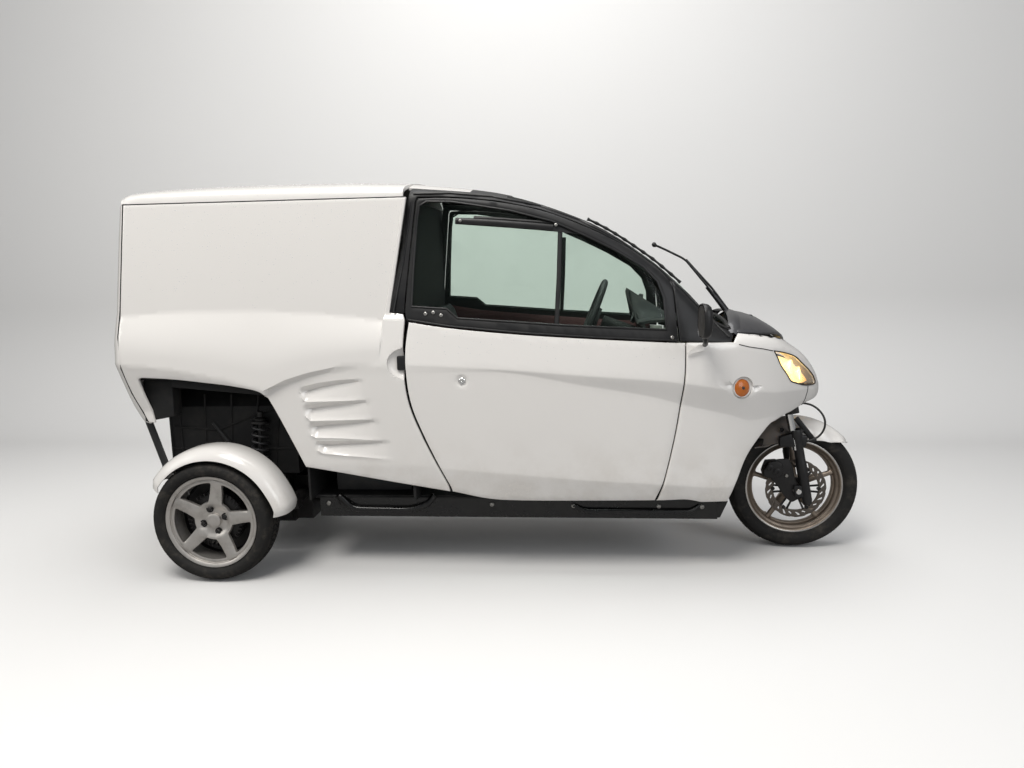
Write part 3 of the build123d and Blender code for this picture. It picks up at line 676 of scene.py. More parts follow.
def shade(colour, by):
    """Colour made lighter or darker by a factor."""
    return tuple(c * by for c in colour)


def painted(name, colour, dirt, rough=0.16, wet=False):
    """Body paint under lacquer: slight orange peel, road film low down, and fine beads of water if wet."""
    s = Shader(name, coat=0.45, coat_roughness=0.06)
    height = s.axis("Z")
    film = (1 - height.ramp(0.22, 0.62)) * s.noise(9, 5, 0.65).ramp(0.35, 0.75) * dirt
    tone = s.blend(s.noise(2.2, 2) * 0.5, colour, shade(colour, 0.955))
    s.feed(base_color=s.blend(film, tone, (0.36, 0.30, 0.22)),
           roughness=rough + film * 0.5 + s.noise(40, 3) * 0.06)
    relief = s.noise(420, 2) * 0.12
    if wet:
        beads = s.cells(185)
        spread = s.noise(7, 3).ramp(0.47, 0.72) * height.ramp(0.93, 1.12)
        relief = relief + (1 - (beads / 0.33).least(1.0).power(2)) * (s.cells(185, out="Color") > 0.45) * spread * 1.6
    s.feed(normal=s.bump(relief, 0.0006, 0.55))
    return s.material


def moulded(name, colour, rough, grain, depth, dust, coat=0.0):
    """Grained moulding with a little dust settled on it."""
    s = Shader(name, coat=coat, coat_roughness=0.2)
    worn = s.noise(14, 5, 0.6)
    s.feed(base_color=s.blend(worn.ramp(0.42, 0.8) * dust, colour, (0.21, 0.19, 0.16)),
           roughness=rough + worn * 0.14 - 0.05,
           normal=s.bump(s.cells(grain) * 0.6 + s.noise(grain * 1.7, 2) * 0.4, depth, 0.7))
    return s.material


def rubber(name, colour):
    """Tyre rubber: dusty shoulders, fine moulding rings and matt scuffs."""
    s = Shader(name, specular=0.35)
    scuff = s.noise(26, 6, 0.7)
    s.feed(base_color=s.blend(scuff.ramp(0.45, 0.82) * 0.6, colour, (0.085, 0.074, 0.06)),
           roughness=0.62 + scuff * 0.25, normal=s.bump(s.noise(330, 4, 0.6), 0.0004, 0.6))
    return s.material


GRIME = (0.05, 0.042, 0.034)


def metal(name, colour, rough, brush, grime, metallic=1.0):
    """Bare, cast or plated metal with fine grain and grime in patches."""
    s = Shader(name, metallic=metallic)
    patch = s.noise(18, 5, 0.65).ramp(0.45, 0.8) * grime
    fine = s.noise(brush * 10, 3, 0.6)
    s.feed(base_color=s.blend(patch, colour, GRIME), roughness=rough + patch * 0.4 + fine * 0.1,
           normal=s.bump(fine, 0.00012, 0.6))
    return s.material


def disc_steel(name, colour, centre):
    """Brake disc: turned rings and a faint heat tint about the wheel's centre."""
    s = Shader(name, metallic=1.0)
    away = s.node("ShaderNodeVectorMath", {"operation": "SUBTRACT"}, {0: s.place, 1: tuple(centre)})
    split = s.node("ShaderNodeVectorMath", {"operation": "MULTIPLY"}, {0: away, 1: (1, 0, 1)})
    radius = s.node("ShaderNodeVectorMath", {"operation": "LENGTH"}, {0: split}, "Value")
    rings = (radius * 5200).wave() * 0.5 + 0.5
    scored = (radius * 900 + s.noise(30, 2) * 3).wave().ramp(0.5, 1.0)
    s.feed(base_color=s.blend(scored * 0.5, colour, shade(colour, 0.62)), roughness=0.36 + scored * 0.18,
           normal=s.bump(rings * 0.5 + scored, 0.00015, 0.8))
    return s.material


def glass(name, tint, film, drops):
    """Thin glazing: tinted and clear, with a sheen, a film and dried spots that catch the light."""
    s = Shader(name, specular=1.0)
    away = s.cells(150)
    dots = (1 - (away / 0.22).least(1.0)) * (s.cells(150, out="Color") > 0.72) * drops
    haze = s.noise(5, 4, 0.6).ramp(0.45, 0.85) * film
    s.feed(base_color=s.blend((haze * 4 + dots * 3).least(1.0), (0.012, 0.020, 0.017), (0.62, 0.66, 0.6)),
           roughness=0.03 + haze * 0.8, normal=s.bump(s.noise(3, 2) + dots, 0.0004, 0.25))
    clear = s.tree.nodes.new("ShaderNodeBsdfTransparent")
    clear.inputs["Color"].default_value = (*tint, 1)
    mix = s.tree.nodes.new("ShaderNodeMixShader")
    s.tree.links.new((0.04 + haze + dots * 0.8).least(1.0).socket, mix.inputs[0])
    s.tree.links.new(clear.outputs[0], mix.inputs[1])
    s.tree.links.new(s.surface.outputs[0], mix.inputs[2])
    s.tree.links.new(mix.outputs[0], s.tree.nodes["Material Output"].inputs["Surface"])
    return s.material


def lens(name, colour, glow, strength, ribs=0.0, alpha=None):
    """Lamp lens with prism ribs behind it and its own light."""
    s = Shader(name, coat=0.6, coat_roughness=0.03)
    prism = (s.axis("Z") * ribs).wave() * (s.axis("X") * ribs * 0.9).wave() if ribs else s.noise(60, 2)
    s.feed(base_color=s.blend(prism.ramp(-0.4, 0.9) * 0.5, colour, shade(colour, 0.55)),
           roughness=0.12 + s.noise(80, 2) * 0.06, normal=s.bump(prism, 0.0005, 0.6),
           emission_color=s.blend(prism.ramp(-0.6, 0.8), shade(glow, 0.5), glow))
    s.surface.inputs["Emission Strength"].default_value = strength
    if alpha is not None:
        s.feed(alpha=alpha + prism.ramp(0.2, 1.0) * 0.14)
    return s.material


def lamp_glow(name, strength, bulbs):
    """Lit reflector: prism cells, near white about each bulb and amber further away."""
    s = Shader(name, coat=0.4)
    across = s.node("ShaderNodeVectorMath", {"operation": "ABSOLUTE"}, {0: s.place})
    near = 1.0
    for x, y, z in bulbs:
        gap = s.node("ShaderNodeVectorMath", {"operation": "DISTANCE"}, {0: across, 1: (x, abs(y), z)}, "Value")
        near = (gap / 0.105).least(near)
    facet = (s.axis("Z") * 1400).wave() * ((s.axis("X") + s.axis("Y")) * 1100).wave()
    spark = s.cells(260, out="Color") * 0.6 + facet * 0.25
    heat = (1 - near + spark * 0.55 - 0.25).most(0.0).least(1.0)
    s.feed(base_color=s.blend(heat, (0.75, 0.42, 0.10), (0.95, 0.85, 0.6)), roughness=0.15 + spark * 0.2,
           emission_color=s.blend(heat, (0.60, 0.25, 0.05), (1.0, 0.84, 0.34)), normal=s.bump(facet, 0.0006, 0.8))
    s.surface.inputs["Emission Strength"].default_value = strength
    return s.material


def woven(name, colour, thread):
    """Seat cloth: plain weave with heather flecks and soft sheen."""
    s = Shader(name, specular=0.2)
    s.surface.inputs["Sheen Weight"].default_value = 0.35
    s.surface.inputs["Sheen Roughness"].default_value = 0.4
    over = (s.axis("Y") * thread).wave() * ((s.axis("Z") + s.axis("X")) * thread).wave()
    fleck = s.noise(700, 2).ramp(0.55, 0.75)
    s.feed(base_color=s.blend(fleck * 0.6 + over.ramp(-0.5, 0.9) * 0.3, shade(colour, 0.7), shade(colour, 1.9)),
           roughness=0.86 + s.noise(30, 2) * 0.1, normal=s.bump(over + s.noise(1400, 2) * 0.5, 0.0004, 0.7))
    return s.material


COLOURS = ("white", "lid", "black", "tint", "amber", "red", "tyre", "silver", "bronze", "cloth")


def make_materials(look):
    """Every finish by the name that the operators use."""
    rgb = {key: tuple(getattr(look, key)) for key in COLOURS}
    return {
        "paint": painted("white_paint", rgb["white"], dirt=look.dirt),
        "paint_wet": painted("white_paint_wet", rgb["white"], dirt=look.dirt, wet=True),
        "roof": painted("white_roof", shade(rgb["white"], 0.97), dirt=0.0, rough=0.22, wet=True),
        "lid": painted("grey_lid_paint", rgb["lid"], dirt=0.0, rough=0.3, wet=False),
        "satin": moulded("satin_black", shade(rgb["black"], 0.6), 0.42, 700, 0.00006, 0.04, coat=0.03),
        "frame": moulded("black_frame_coat", shade(rgb["black"], 0.5), 0.48, 1100, 0.00008, 0.04, coat=0.02),
        "liner": moulded("black_liner", shade(rgb["black"], 0.3), 0.7, 500, 0.0002, 0.06),
        "gloss": moulded("gloss_black", shade(rgb["black"], 0.25), 0.26, 300, 0.00003, 0.03, coat=0.1),
        # rear of the white front mudguard, coloured grey as painted shade where it lies under the cowl
        "guard_in_shade": moulded("guard_grey_painted_shade", srgb(128, 122, 118), 0.45, 700, 0.00006, 0.2),
        "dash": moulded("dash_grain", (0.03, 0.031, 0.032), 0.55, 1500, 0.00016, 0.15),
        "trim": moulded("door_trim", srgb(64, 20, 24), 0.7, 1200, 0.0002, 0.05),
        "seal": moulded("seal_rubber_mat", (0.012, 0.012, 0.012), 0.7, 600, 0.00008, 0.15),
        "tyre": rubber("tyre_rubber_mat", rgb["tyre"]),
        "silver": metal("silver_wheel", rgb["silver"], 0.34, 40, 0.35, 0.85),
        "bronze": metal("bronze_wheel", rgb["bronze"], 0.36, 40, 0.4, 0.85),
        "lip": metal("polished_lip", (0.58, 0.56, 0.53), 0.26, 30, 0.3),
        "chrome": metal("fork_chrome", (0.80, 0.80, 0.79), 0.1, 20, 0.15),
        "cast": metal("dark_cast_metal", (0.020, 0.019, 0.019), 0.40, 30, 0.25, 0.4),
        "steel": metal("plain_steel", (0.40, 0.39, 0.37), 0.32, 30, 0.35),
        "disc": disc_steel("disc_face", (0.16, 0.14, 0.122), HUB_FRONT),
        "spring": metal("spring_coat", (0.03, 0.03, 0.032), 0.3, 30, 0.4, 0.3),
        "glass": glass("green_glass", rgb["tint"], look.film, drops=0.15),
        "glass_door": glass("green_glass_door", rgb["tint"], look.film, drops=0.3),
        "clear": lens("lamp_cover", (0.95, 0.93, 0.88), (1.0, 0.80, 0.45), 0.15, 620, alpha=0.10),
        "bowl": lamp_glow("lamp_bowl", look.glow, ((1.168, -0.14, 0.730), (1.105, -0.20, 0.775))),
        "bulb": lens("lamp_bulb", (1, 0.95, 0.8), (1.0, 0.9, 0.55), 6.0),
        "amber": lens("amber_lens_mat", rgb["amber"], rgb["amber"], 0.12, 900),
        "red": lens("red_lens_mat", rgb["red"], rgb["red"], 0.12, 900),
        "cloth": woven("seat_weave", rgb["cloth"], 2600),
        "hose": moulded("hose_rubber_mat", (0.014, 0.014, 0.014), 0.45, 500, 0.00008, 0.1),
        "water": water("water_bead"),
    }


def water(name):
    """Beads of rain: sharp and half see-through, with a near-white base colour as a painted highlight."""
    s = Shader(name, ior=1.33, specular=0.8)
    # The near-white base colour is a painted highlight on the clear water.
    s.feed(base_color=s.blend(s.noise(300, 1), (0.93, 0.94, 0.95), (1.0, 1.0, 1.0)),
           alpha=0.50 + s.noise(220, 1) * 0.2, roughness=s.noise(90, 1) * 0.05)
    return s.material


# Settings

def colour_of(name, text, default):
    """Colour setting with its default."""
    return FloatVectorProperty(name=name, description=text, subtype="COLOR", size=3, min=0, max=1, default=default)


def length_of(name, text, default, low, high):
    """Length setting with its default and its limits."""
    return FloatProperty(name=name, description=text, default=default, min=low, max=high, unit="LENGTH")


class CarLook(bpy.types.PropertyGroup):
    """Colours and looks that a user may change before building."""
    white: colour_of("Body white", "Paint of the body panels", srgb(230, 227, 223))
    lid: colour_of("Lid grey", "Paint of the front lid", srgb(58, 58, 60))
    black: colour_of("Black", "Black mouldings and frames", srgb(19, 19, 21))
    tint: colour_of("Glass tint", "Colour that one pane lets through", (0.925, 0.974, 0.945))
    amber: colour_of("Amber", "Side marker lenses", srgb(186, 98, 12))
    red: colour_of("Red", "Tail lamp lenses and reflectors", srgb(168, 18, 16))
    tyre: colour_of("Tyre", "Tyre rubber", srgb(26, 25, 24))
    silver: colour_of("Silver wheel", "Paint of the rear rims", srgb(192, 188, 183))
    bronze: colour_of("Bronze wheel", "Paint of the front rim", srgb(152, 139, 126))
    cloth: colour_of("Cloth", "Seat cloth", srgb(46, 46, 50))
    dirt: FloatProperty(name="Road film", description="How much road film lies on the paint low down",
                        default=0.28, min=0, max=1, subtype="FACTOR")
    film: FloatProperty(name="Glass film", description="How hazy the glass is", default=0.04, min=0, max=1,
                        subtype="FACTOR")
    glow: FloatProperty(name="Lamp glow", description="Strength of the lit headlamps", default=2.1, min=0, max=20)
    drops: IntProperty(name="Water beads", description="Beads of rain on the roof and upper panels",
                       default=2600, min=0, max=20000)
    seed: IntProperty(name="Seed", description="Seed of the rain's scatter", default=7, min=0)


class CarSize(bpy.types.PropertyGroup):
    """Sizes of fittings that the frame leaves to the looks."""
    cell: length_of("Panel cell", "Spacing of the mesh that the skin panels are cut from", 0.022, 0.008, 0.06)
    lip: length_of("Edge roll", "How far panel edges are rolled in", 0.0035, 0.001, 0.01)
    skin: length_of("Skin", "Thickness of the body panels", 0.010, 0.002, 0.02)
    bar: length_of("Tube", "Radius of the sill hoop tubes", 0.0125, 0.004, 0.03)


MATERIALS = {}


class Builder:
    """What every operator shares."""
    bl_options = {"REGISTER", "UNDO"}

    def execute(self, context):
        self.look, self.size, self.mat = context.scene.car_look, context.scene.car_size, MATERIALS
        self.build()
        if not context.scene.objects:
            raise RuntimeError(f"{self.bl_label} built nothing")
        return {"FINISHED"}

    def dress(self, **finishes):
        """Gives carried-over CAD nodes their own finish."""
        for key, names in finishes.items():
            for name in names:
                materials = frame["nodes"][name].data.materials
                materials.clear()
                materials.append(self.mat[key])


def smooth_step(value, low, high):
    """0 up to low and 1 from high, smooth between."""
    t = min(max((value - low) / (high - low), 0), 1)
    return t * t * (3 - 2 * t)


def crossing(line, x):
    """Height of a polyline, given as x and z with x rising, at x."""
    return float(np.interp(x, [p[0] for p in line], [p[1] for p in line]))


# Camera and hose

CAMERA_AT = (0.329, -3.144, 1.177)
CAMERA_TURN = (-5.142, 8.944, -1.199)  # yaw, pitch and roll, degrees
PHOTO_WIDTH, FOCAL_LENGTH = 1024, 770  # pixels
SENSOR = 36.0                          # mm


class CAR_OT_camera(Builder, bpy.types.Operator):
    """Sets the camera where the photograph was taken from"""
    bl_idname, bl_label = "car.camera", "Camera"

    def build(self):
        yaw, pitch, roll = (math.radians(a) for a in CAMERA_TURN)
        ahead = Vector((math.sin(yaw) * math.cos(pitch), math.cos(yaw) * math.cos(pitch), -math.sin(pitch)))
        right = Vector((math.cos(yaw), -math.sin(yaw), 0))
        up = right.cross(ahead)
        over = right * math.cos(roll) + up * math.sin(roll)
        up = up * math.cos(roll) - right * math.sin(roll)
        data = bpy.data.cameras.new("camera")
        data.sensor_width, data.lens = SENSOR, SENSOR * FOCAL_LENGTH / PHOTO_WIDTH
        camera = put("camera", data)
        camera.matrix_world = Matrix.Translation(CAMERA_AT) @ Matrix((over, up, -ahead)).transposed().to_4x4()
        bpy.context.scene.camera = camera


class CAR_OT_hose(Builder, bpy.types.Operator):
    """Lays the front brake hose from the steering head to the caliper"""
    bl_idname, bl_label = "car.hose", "Brake hose"

    def build(self):
        route = [on_steer(0.349, 0.049, -0.076), on_steer(0.344, 0.081, -0.078),
                 (1.244, -0.086, 0.598), (1.276, -0.093, 0.564), (1.284, -0.100, 0.526), (1.270, -0.100, 0.488),
                 (1.238, -0.099, 0.464), (1.2006, -0.098, 0.456)]
        curve = bpy.data.curves.new("brake_hose_cord", "CURVE")
        curve.dimensions, curve.bevel_depth, curve.bevel_resolution, curve.resolution_u = "3D", 0.004, 4, 14
        curve.use_fill_caps = True
        line = curve.splines.new("NURBS")
        line.points.add(len(route) - 1)
        for point, at in zip(line.points, route):
            point.co = (*at, 1)
        line.order_u, line.use_endpoint_u = 3, True
        curve.materials.append(self.mat["hose"])
        hose = put("brake_hose_cord", curve)
        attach(hose, "fork")
        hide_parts("brake_hose")


# Cargo body

CARGO = [(-1326, 1413, 1), (-1350, 1231), (-1376, 1031), (-1381, 935), (-1380, 816), (-1367, 717), (-1344, 640),
         (-1325, 599, 1), (-1300, 599, 1), (-1318, 693), (-1326, 765), (-1316, 777), (-1290, 778), (-1186, 773),
         (-1052, 759), (-942, 745), (-850, 724), (-818, 682), (-760, 556), (-706, 431, 1), (-535, 402), (-352, 370),
         (-160, 336, 1), (-166, 362), (-249, 543), (-299, 692), (-309, 860), (-299, 984, 1), (-306, 1003, 1),
         (-356, 1008, 1), (-278, 1413, 1)]
BAND_TOP = [(-1400, 1010), (-1365, 1010), (-1213, 1018), (-1047, 1023), (-829, 1020), (-614, 1007), (-392, 983),
            (-290, 972)]
BAND_FOOT = [(-1416, 837), (-1288, 823), (-1167, 809), (-981, 773), (-841, 734), (-828, 733), (-751, 770),
             (-663, 796), (-565, 816), (-479, 829), (-420, 835), (-398, 840), (-290, 840)]
STEP_FOOT = [(-833, 729), (-746, 753), (-668, 777), (-569, 799), (-483, 809), (-424, 813), (-398, 822), (-290, 822)]
BORDER = [(-397, 700), (-396, 840), (-392, 872), (-383, 976), (-374, 1011), (-338, 1179), (-292, 1406), (-288, 1440)]
SCOOPS = (([(-704, 739), (-633, 756), (-560, 766), (-477, 771)],
           [(-694, 697), (-686, 685), (-565, 688), (-457, 693)]),
          ([(-696, 673), (-626, 681), (-457, 693)], [(-689, 631), (-672, 612), (-569, 615), (-434, 620)]),
          ([(-682, 603), (-630, 609), (-434, 618)], [(-676, 558), (-658, 547), (-543, 545), (-405, 538)]),
          ([(-662, 534), (-405, 538)], [(-652, 497), (-632, 485), (-516, 476), (-372, 464)]))
BOWL = (-296, 826, 71, 57)
LOUVRE_DEPTH, LOUVRE_LIP, BOWL_DEPTH = 25, 4, 26


def scoop_foot(high, low, x):
    """Height of the inner edge of a louvre, below its upper edge."""
    top, end = crossing(high, x), crossing(low, x)
    u = (x - high[0][0]) / (high[-1][0] - high[0][0])
    return top - min(24 - 12 * u, 0.42 * (top - end))


def cargo_y(x, z):
    """Half width of the cargo side in metres: flat upper panel, bulged band, undercut tail, stepped vent
    panel and column."""
    u, w = x / MM, z / MM
    top, foot, step = crossing(BAND_TOP, u), crossing(BAND_FOOT, u), crossing(STEP_FOOT, u)
    swell = 405 + float(np.interp(u, (-1376, -1250, -831, -400), (30, 36, 38, 32)))
    door = side_y(-0.290, z) / MM
    low = door - 10 * smooth_step(-x, 0.32, 0.70)
    if w >= top:
        y = 405
    elif w >= foot:
        y = 405 + (swell - 405) * math.sin(math.pi / 2 * min((top - w) / (top - foot) / 0.8, 1))
    elif u < -831:
        y = swell - min(64, 0.34 * (foot - w))
    else:
        y = swell + (low - swell) * min((foot - w) / max(foot - step, 1), 1)
    for high, lip in SCOOPS:
        ahead = (u - high[0][0]) / (lip[-1][0] - high[0][0])
        upper, lower = crossing(high, u), crossing(lip, u)
        if 0 < ahead < 1 and lower < w < upper:
            inner = scoop_foot(high, lip, u)
            share = (upper - w) / (upper - inner) if w > inner else (w - lower) / (inner - lower)
            y -= LOUVRE_DEPTH * (1 - ahead) ** 0.65 * min(ahead / 0.09, 1) * share
        if 0 < ahead < 1:
            y += LOUVRE_LIP * (1 - ahead) ** 0.4 * min(ahead / 0.05, 1) * max(1 - abs(w - lower) / 9, 0)
    edge = float(np.interp(w, [p[1] for p in BORDER], [p[0] for p in BORDER]))
    if u > edge and w > 830:
        column = 409 + (door - 409) * smooth_step(1006 - w, 0, 22)
        y += (column - y) * min((u - edge) / 3, 1) * smooth_step(w, 822, 836)
    bx, bz, across, tall = BOWL
    away = math.hypot((u - bx) / across, (w - bz) / tall)
    if away < 1:
        y -= BOWL_DEPTH * math.sqrt(1 - away ** 2.2)
    return y * MM


def cargo_lines():
    """Guide lines so that the mesh follows the creases of the cargo side."""
    lines = [BAND_TOP, BAND_FOOT, STEP_FOOT[:-1], BORDER[1:], [(x + 3, z) for x, z in BORDER[1:]],
             [(x, z - 40) for x, z in BAND_TOP], [(-398, 1004), (-300, 1004)], [(-398, 984), (-300, 984)]]
    for high, lip in SCOOPS:
        span = np.linspace(high[0][0] + 1, lip[-1][0] - 6, 22)
        for height in (lambda x: crossing(high, x), lambda x: scoop_foot(high, lip, x), lambda x: crossing(lip, x),
                       lambda x: crossing(lip, x) - 9, lambda x: crossing(lip, x) + 9):
            lines.append([(x, height(x)) for x in span])
        lines.append([high[0], lip[0]])
        ahead = high[0][0] + 14
        lines.append([(ahead, crossing(high, ahead)), (ahead, crossing(lip, ahead))])
    bx, bz, across, tall = BOWL
    for share in (1.0, 0.96, 0.85, 0.65, 0.35):
        lines.append([(bx + across * share * math.cos(a), bz + tall * share * math.sin(a)) for a in turns(40, 1)])
    return [[Vector((x * MM, z * MM)) for x, z in line] for line in lines]


ROOF_RING = ((405, 1416.5), (405, 1430), (401, 1440.5), (390, 1449), (360, 1461.5), (300, 1474.5), (220, 1487),
             (120, 1499), (0, 1508))
ROOF_CROWN = ((-1378, 1462), (-1370, 1472), (-1355, 1482), (-1330, 1491), (-1250, 1500), (-1050, 1507),
              (-776, 1507.5), (-506, 1505), (-290, 1493.5))
CARGO_REAR = [point[:2] for point in CARGO[:8]]
SEAM_TOP = 1.409                       # height where the tailgate's straight sides end, m
TAILGATE_CROWN = [(0.0, 1.460), (0.120, 1.455), (0.220, 1.447), (0.300, 1.439), (0.360, 1.431), (0.390, 1.423),
                  (0.402, SEAM_TOP)]
TAILGATE_CROWN = [(-y, z) for y, z in TAILGATE_CROWN[:0:-1]] + TAILGATE_CROWN


class CAR_OT_cargo(Builder, bpy.types.Operator):
    """Skins the cargo body: both sides, the roof cap and the tailgate"""
    bl_idname, bl_label = "car.cargo", "Cargo body"

    def build(self):
        outline = rounded([(x * MM, z * MM, *mark) for x, z, *mark in CARGO])
        bm = panel(lambda x, z: Vector((x, cargo_y(x, z), z)), outline, cell=self.size.cell * 0.62,
                   wall=self.size.skin, roll=self.size.lip * 0.8, lines=cargo_lines(), out=-1)
        for side in SIDES:
            piece(f"cargo_skin_{side}", on_side(bm.copy(), side), self.mat["paint_wet"], "cabin",
                  (f"cargo_side_{side}",), 26)
        bm.free()
        self.roof()
        self.tailgate()

    def roof(self):
        """Roof cap with its crown and tail, the dark seams at the tail, and a dark joint under the roof's edge that
        paints the overhang's shade.
        """
        bm = bmesh.new()
        rows = []
        seam, peak = ROOF_RING[0][1], ROOF_RING[-1][1]
        for x in [-1378, -1374, -1366, -1352, -1330, -1290] + list(range(-1250, -300, 60)) + [-290]:
            crown = crossing(ROOF_CROWN, x)
            inset = 10 * smooth_step(-x, 1330, 1378) ** 2
            ring = [((y - inset if y else 0) * MM, (seam + (z - seam) * (crown - seam) / (peak - seam)) * MM)
                    for y, z in ROOF_RING]
            full = ring + [(-y, z) for y, z in reversed(ring[:-1])]
            lean = 24 * smooth_step(-x, 1355, 1378) if x < -1355 else 0
            bow = 46 * smooth_step(-x, 1240, 1378)
            rows.append([bm.verts.new(((x + lean * (z / MM - seam) / (peak - seam)
                                        + bow * (abs(y) / 0.405) ** 8) * MM, y, z))
                         for y, z in full])
        under = [[bm.verts.new((v.co.x, v.co.y * 0.982, max(seam * MM, v.co.z - 0.012))) for v in row]
                 for row in rows]
        for grid, flip in ((rows, False), (under, True)):
            for one, two in zip(grid, grid[1:]):
                for i in range(len(one) - 1):
                    quad = (one[i], one[i + 1], two[i + 1], two[i])
                    bm.faces.new(tuple(reversed(quad)) if flip else quad)
        for one, two in ((rows[0], under[0]), (rows[-1], under[-1])):
            for i in range(len(one) - 1):
                bm.faces.new((one[i], one[i + 1], two[i + 1], two[i]))
        for i in (0, -1):
            for a, b in zip(range(len(rows) - 1), range(1, len(rows))):
                bm.faces.new((rows[a][i], rows[b][i], under[b][i], under[a][i]))
        piece("roof_skin", cleaned(bm), self.mat["roof"], "cabin", ("roof_cap",), 30)
        seams = []
        for s in (-1, 1):
            # Dark line under the roof's edge: the roof's joint, drawn black as painted shade of the overhang.
            seams.append(tube([(-1.330, 0.402 * s, 1.4148), (-0.282, 0.402 * s, 1.4148)], 0.0024, 8))
            edge = [(x * MM - 0.0035, s * (cargo_y(x * MM, z * MM) - 0.003), z * MM) for x, z in CARGO_REAR]
            seams.append(tube(edge, 0.0020, 8))
        piece("cargo_seams_and_roof_shade_line", merged(*seams), self.mat["seal"], "cabin")

    def tailgate(self):
        """Tailgate skin with its plate recess, and the tail lamps."""
        line = [(SEAM_TOP, -1.374), (1.30, -1.392), (1.20, -1.406), (1.10, -1.420), (1.036, -1.428), (0.904, -1.4425),
                (0.821, -1.4445), (0.718, -1.437), (0.66, -1.420), (0.606, -1.396), (0.592, -1.386)]
        seam = [(z * MM, x * MM - 0.0055) for x, z in CARGO_REAR]
        heights = {round(z, 4) for z, _ in line} | {0.6 + 0.03 * k for k in range(27)}
        heights = sorted(z for z in heights if z <= SEAM_TOP)
        wide = [(0.59, 0.360), (0.72, 0.385), (0.83, 0.432), (0.92, 0.424), (0.98, 0.412), (1.02, 0.402),
                (1.41, 0.402)]

        def half(z):
            return crossing(wide, z)

        def back(y, z):
            x, side = crossing(line[::-1], z), crossing(seam[::-1], z)
            return Vector((x + (side - x) * min(abs(y) / half(z), 1) ** 12 + 0.45 * max(z - SEAM_TOP, 0), y, z))

        def outer(y, z):
            return back(y, z) + Vector((0.012 if abs(y) < 0.15 and 0.69 < z < 0.79 else 0, 0, 0))

        crown = [Vector((y, crossing(TAILGATE_CROWN, y))) for y in (0.39 - 0.03 * k for k in range(27))]
        outline = [Vector((half(z), z)) for z in heights] + crown + [Vector((-half(z), z)) for z in reversed(heights)]
        lamps = [rounded([(s * 0.252, 0.828, 1), (s * 0.316, 0.820, 1), (s * 0.316, 0.712, 1), (s * 0.252, 0.702, 1)])
                 for s in (1, -1)]
        plate_well = rounded([(-0.15, 0.69, 1), (0.15, 0.69, 1), (0.15, 0.79, 1), (-0.15, 0.79, 1)], 2)
        rows = [[Vector((s * share * (half(z) - 0.004), z)) for z in heights] for s in (-1, 1)
                for share in (0.99, 0.965, 0.935, 0.89, 0.82)]
        bm = panel(outer, outline, lamps, self.size.cell, 0.010, self.size.lip,
                   [plate_well + plate_well[:1], [p * 1.06 for p in plate_well], *rows], out=-1)
        piece("tailgate_skin", bm, self.mat["paint"], "tailgate", ("tailgate",))
        lenses = merged(*[panel(lambda y, z: back(y, z) + Vector((0.003, 0, 0)), grow(lamp, -0.003), (), 0.014, 0.012,
                                0.004, out=-1)
                          for lamp in lamps])
        piece("tail_lamp_lenses", lenses, self.mat["red"], "tailgate", ("tail_lamps",))


# Cabin

DOOR_LOW = [(-284, 974, 1), (-299, 860), (-290, 692), (-240, 543), (-155, 354), (-150, 336, 1), (35, 302),
            (600, 298, 1), (631, 381), (672, 567), (697, 750), (701, 884, 1), (660, 886), (399, 903), (116, 924),
            (-135, 950)]
DOOR_HIGH = [(-292, 979, 1), (-296, 1024), (-252, 1398), (-244, 1412, 1), (-130, 1411), (33, 1394), (194, 1360),
             (322, 1312), (434, 1260), (554, 1190), (650, 1100), (668, 1000), (676, 890, 1), (660, 890), (399, 907),
             (116, 928), (-135, 955)]
OPENING = [(-272, 1030, 1), (-262, 1180), (-248, 1340), (-240, 1385), (-214, 1400), (-129, 1397), (-48, 1384),
           (82, 1361), (230, 1321), (338, 1272), (450, 1216), (553, 1154), (604, 1100), (626, 1040), (634, 932, 1),
           (271, 955), (-40, 981), (-106, 986, 1), (-146, 1020, 1)]
PILLAR_FOOT = [(-355, 1010), (-299, 1006), (-300, 1024), (-256, 1398), (-248, 1416), (-130, 1415), (33, 1398),
               (194, 1364), (322, 1316), (434, 1264), (554, 1195), (656, 1104), (674, 1002), (682, 892), (705, 888),
               (868, 880)]
HEADLAMP = [(1039, 837, 1), (1085, 826), (1139, 805), (1174, 776), (1210, 745), (1233, 719), (1243, 700),
            (1244, 688, 1), (1223, 686), (1182, 692), (1142, 706), (1116, 718), (1096, 746), (1070, 780), (1053, 813)]
COWL_EDGE = [(705, 882, 1), (702, 750), (677, 567), (636, 381), (607, 287, 1), (700, 285), (838, 283), (869, 282, 1),
             (884, 310), (905, 362), (939, 446), (985, 510), (1035, 562), (1060, 570), (1113, 588), (1160, 594),
             (1200, 612), (1246, 618), (1266, 634, 1)]
MARKER = (913, 714)
LOCK = (-0.096, 0.761)                 # x and z of the door lock, m
MARKER_LEAF = ((94, 32, 19, 14, 17, -27), (80, 32, 1, 5, 0, -37))
LID_EDGE = [(0.900, 0.2885), (0.940, 0.2765), (0.985, 0.2535), (1.030, 0.2165), (1.070, 0.1665), (1.104, 0.1115),
            (1.124, 0.0655), (1.134, 0.031), (1.138, 0.0)]


def on_skin(x, z, proud=0.0):
    """Point on the left side of the cabin at a position in mm, and the way out of it there."""
    x, z = x * MM, z * MM
    s = s_at_height(x, z)
    e = 0.004
    out = (skin(x + e, s) - skin(x - e, s)).cross(skin(x, s + e) - skin(x, s - e)).normalized()
    if out.y < 0:
        out = -out
    return skin(x, s) + out * proud, out


def door_skin(x, s):
    """Door skin with the small dish round its lock."""
    at = skin(x, s)
    away = math.hypot(at.x - LOCK[0], at.z - LOCK[1]) / 0.024
    if away < 1:
        at.y -= 0.004 * (1 - smooth_step(away, 0.7, 1.0))
    return at


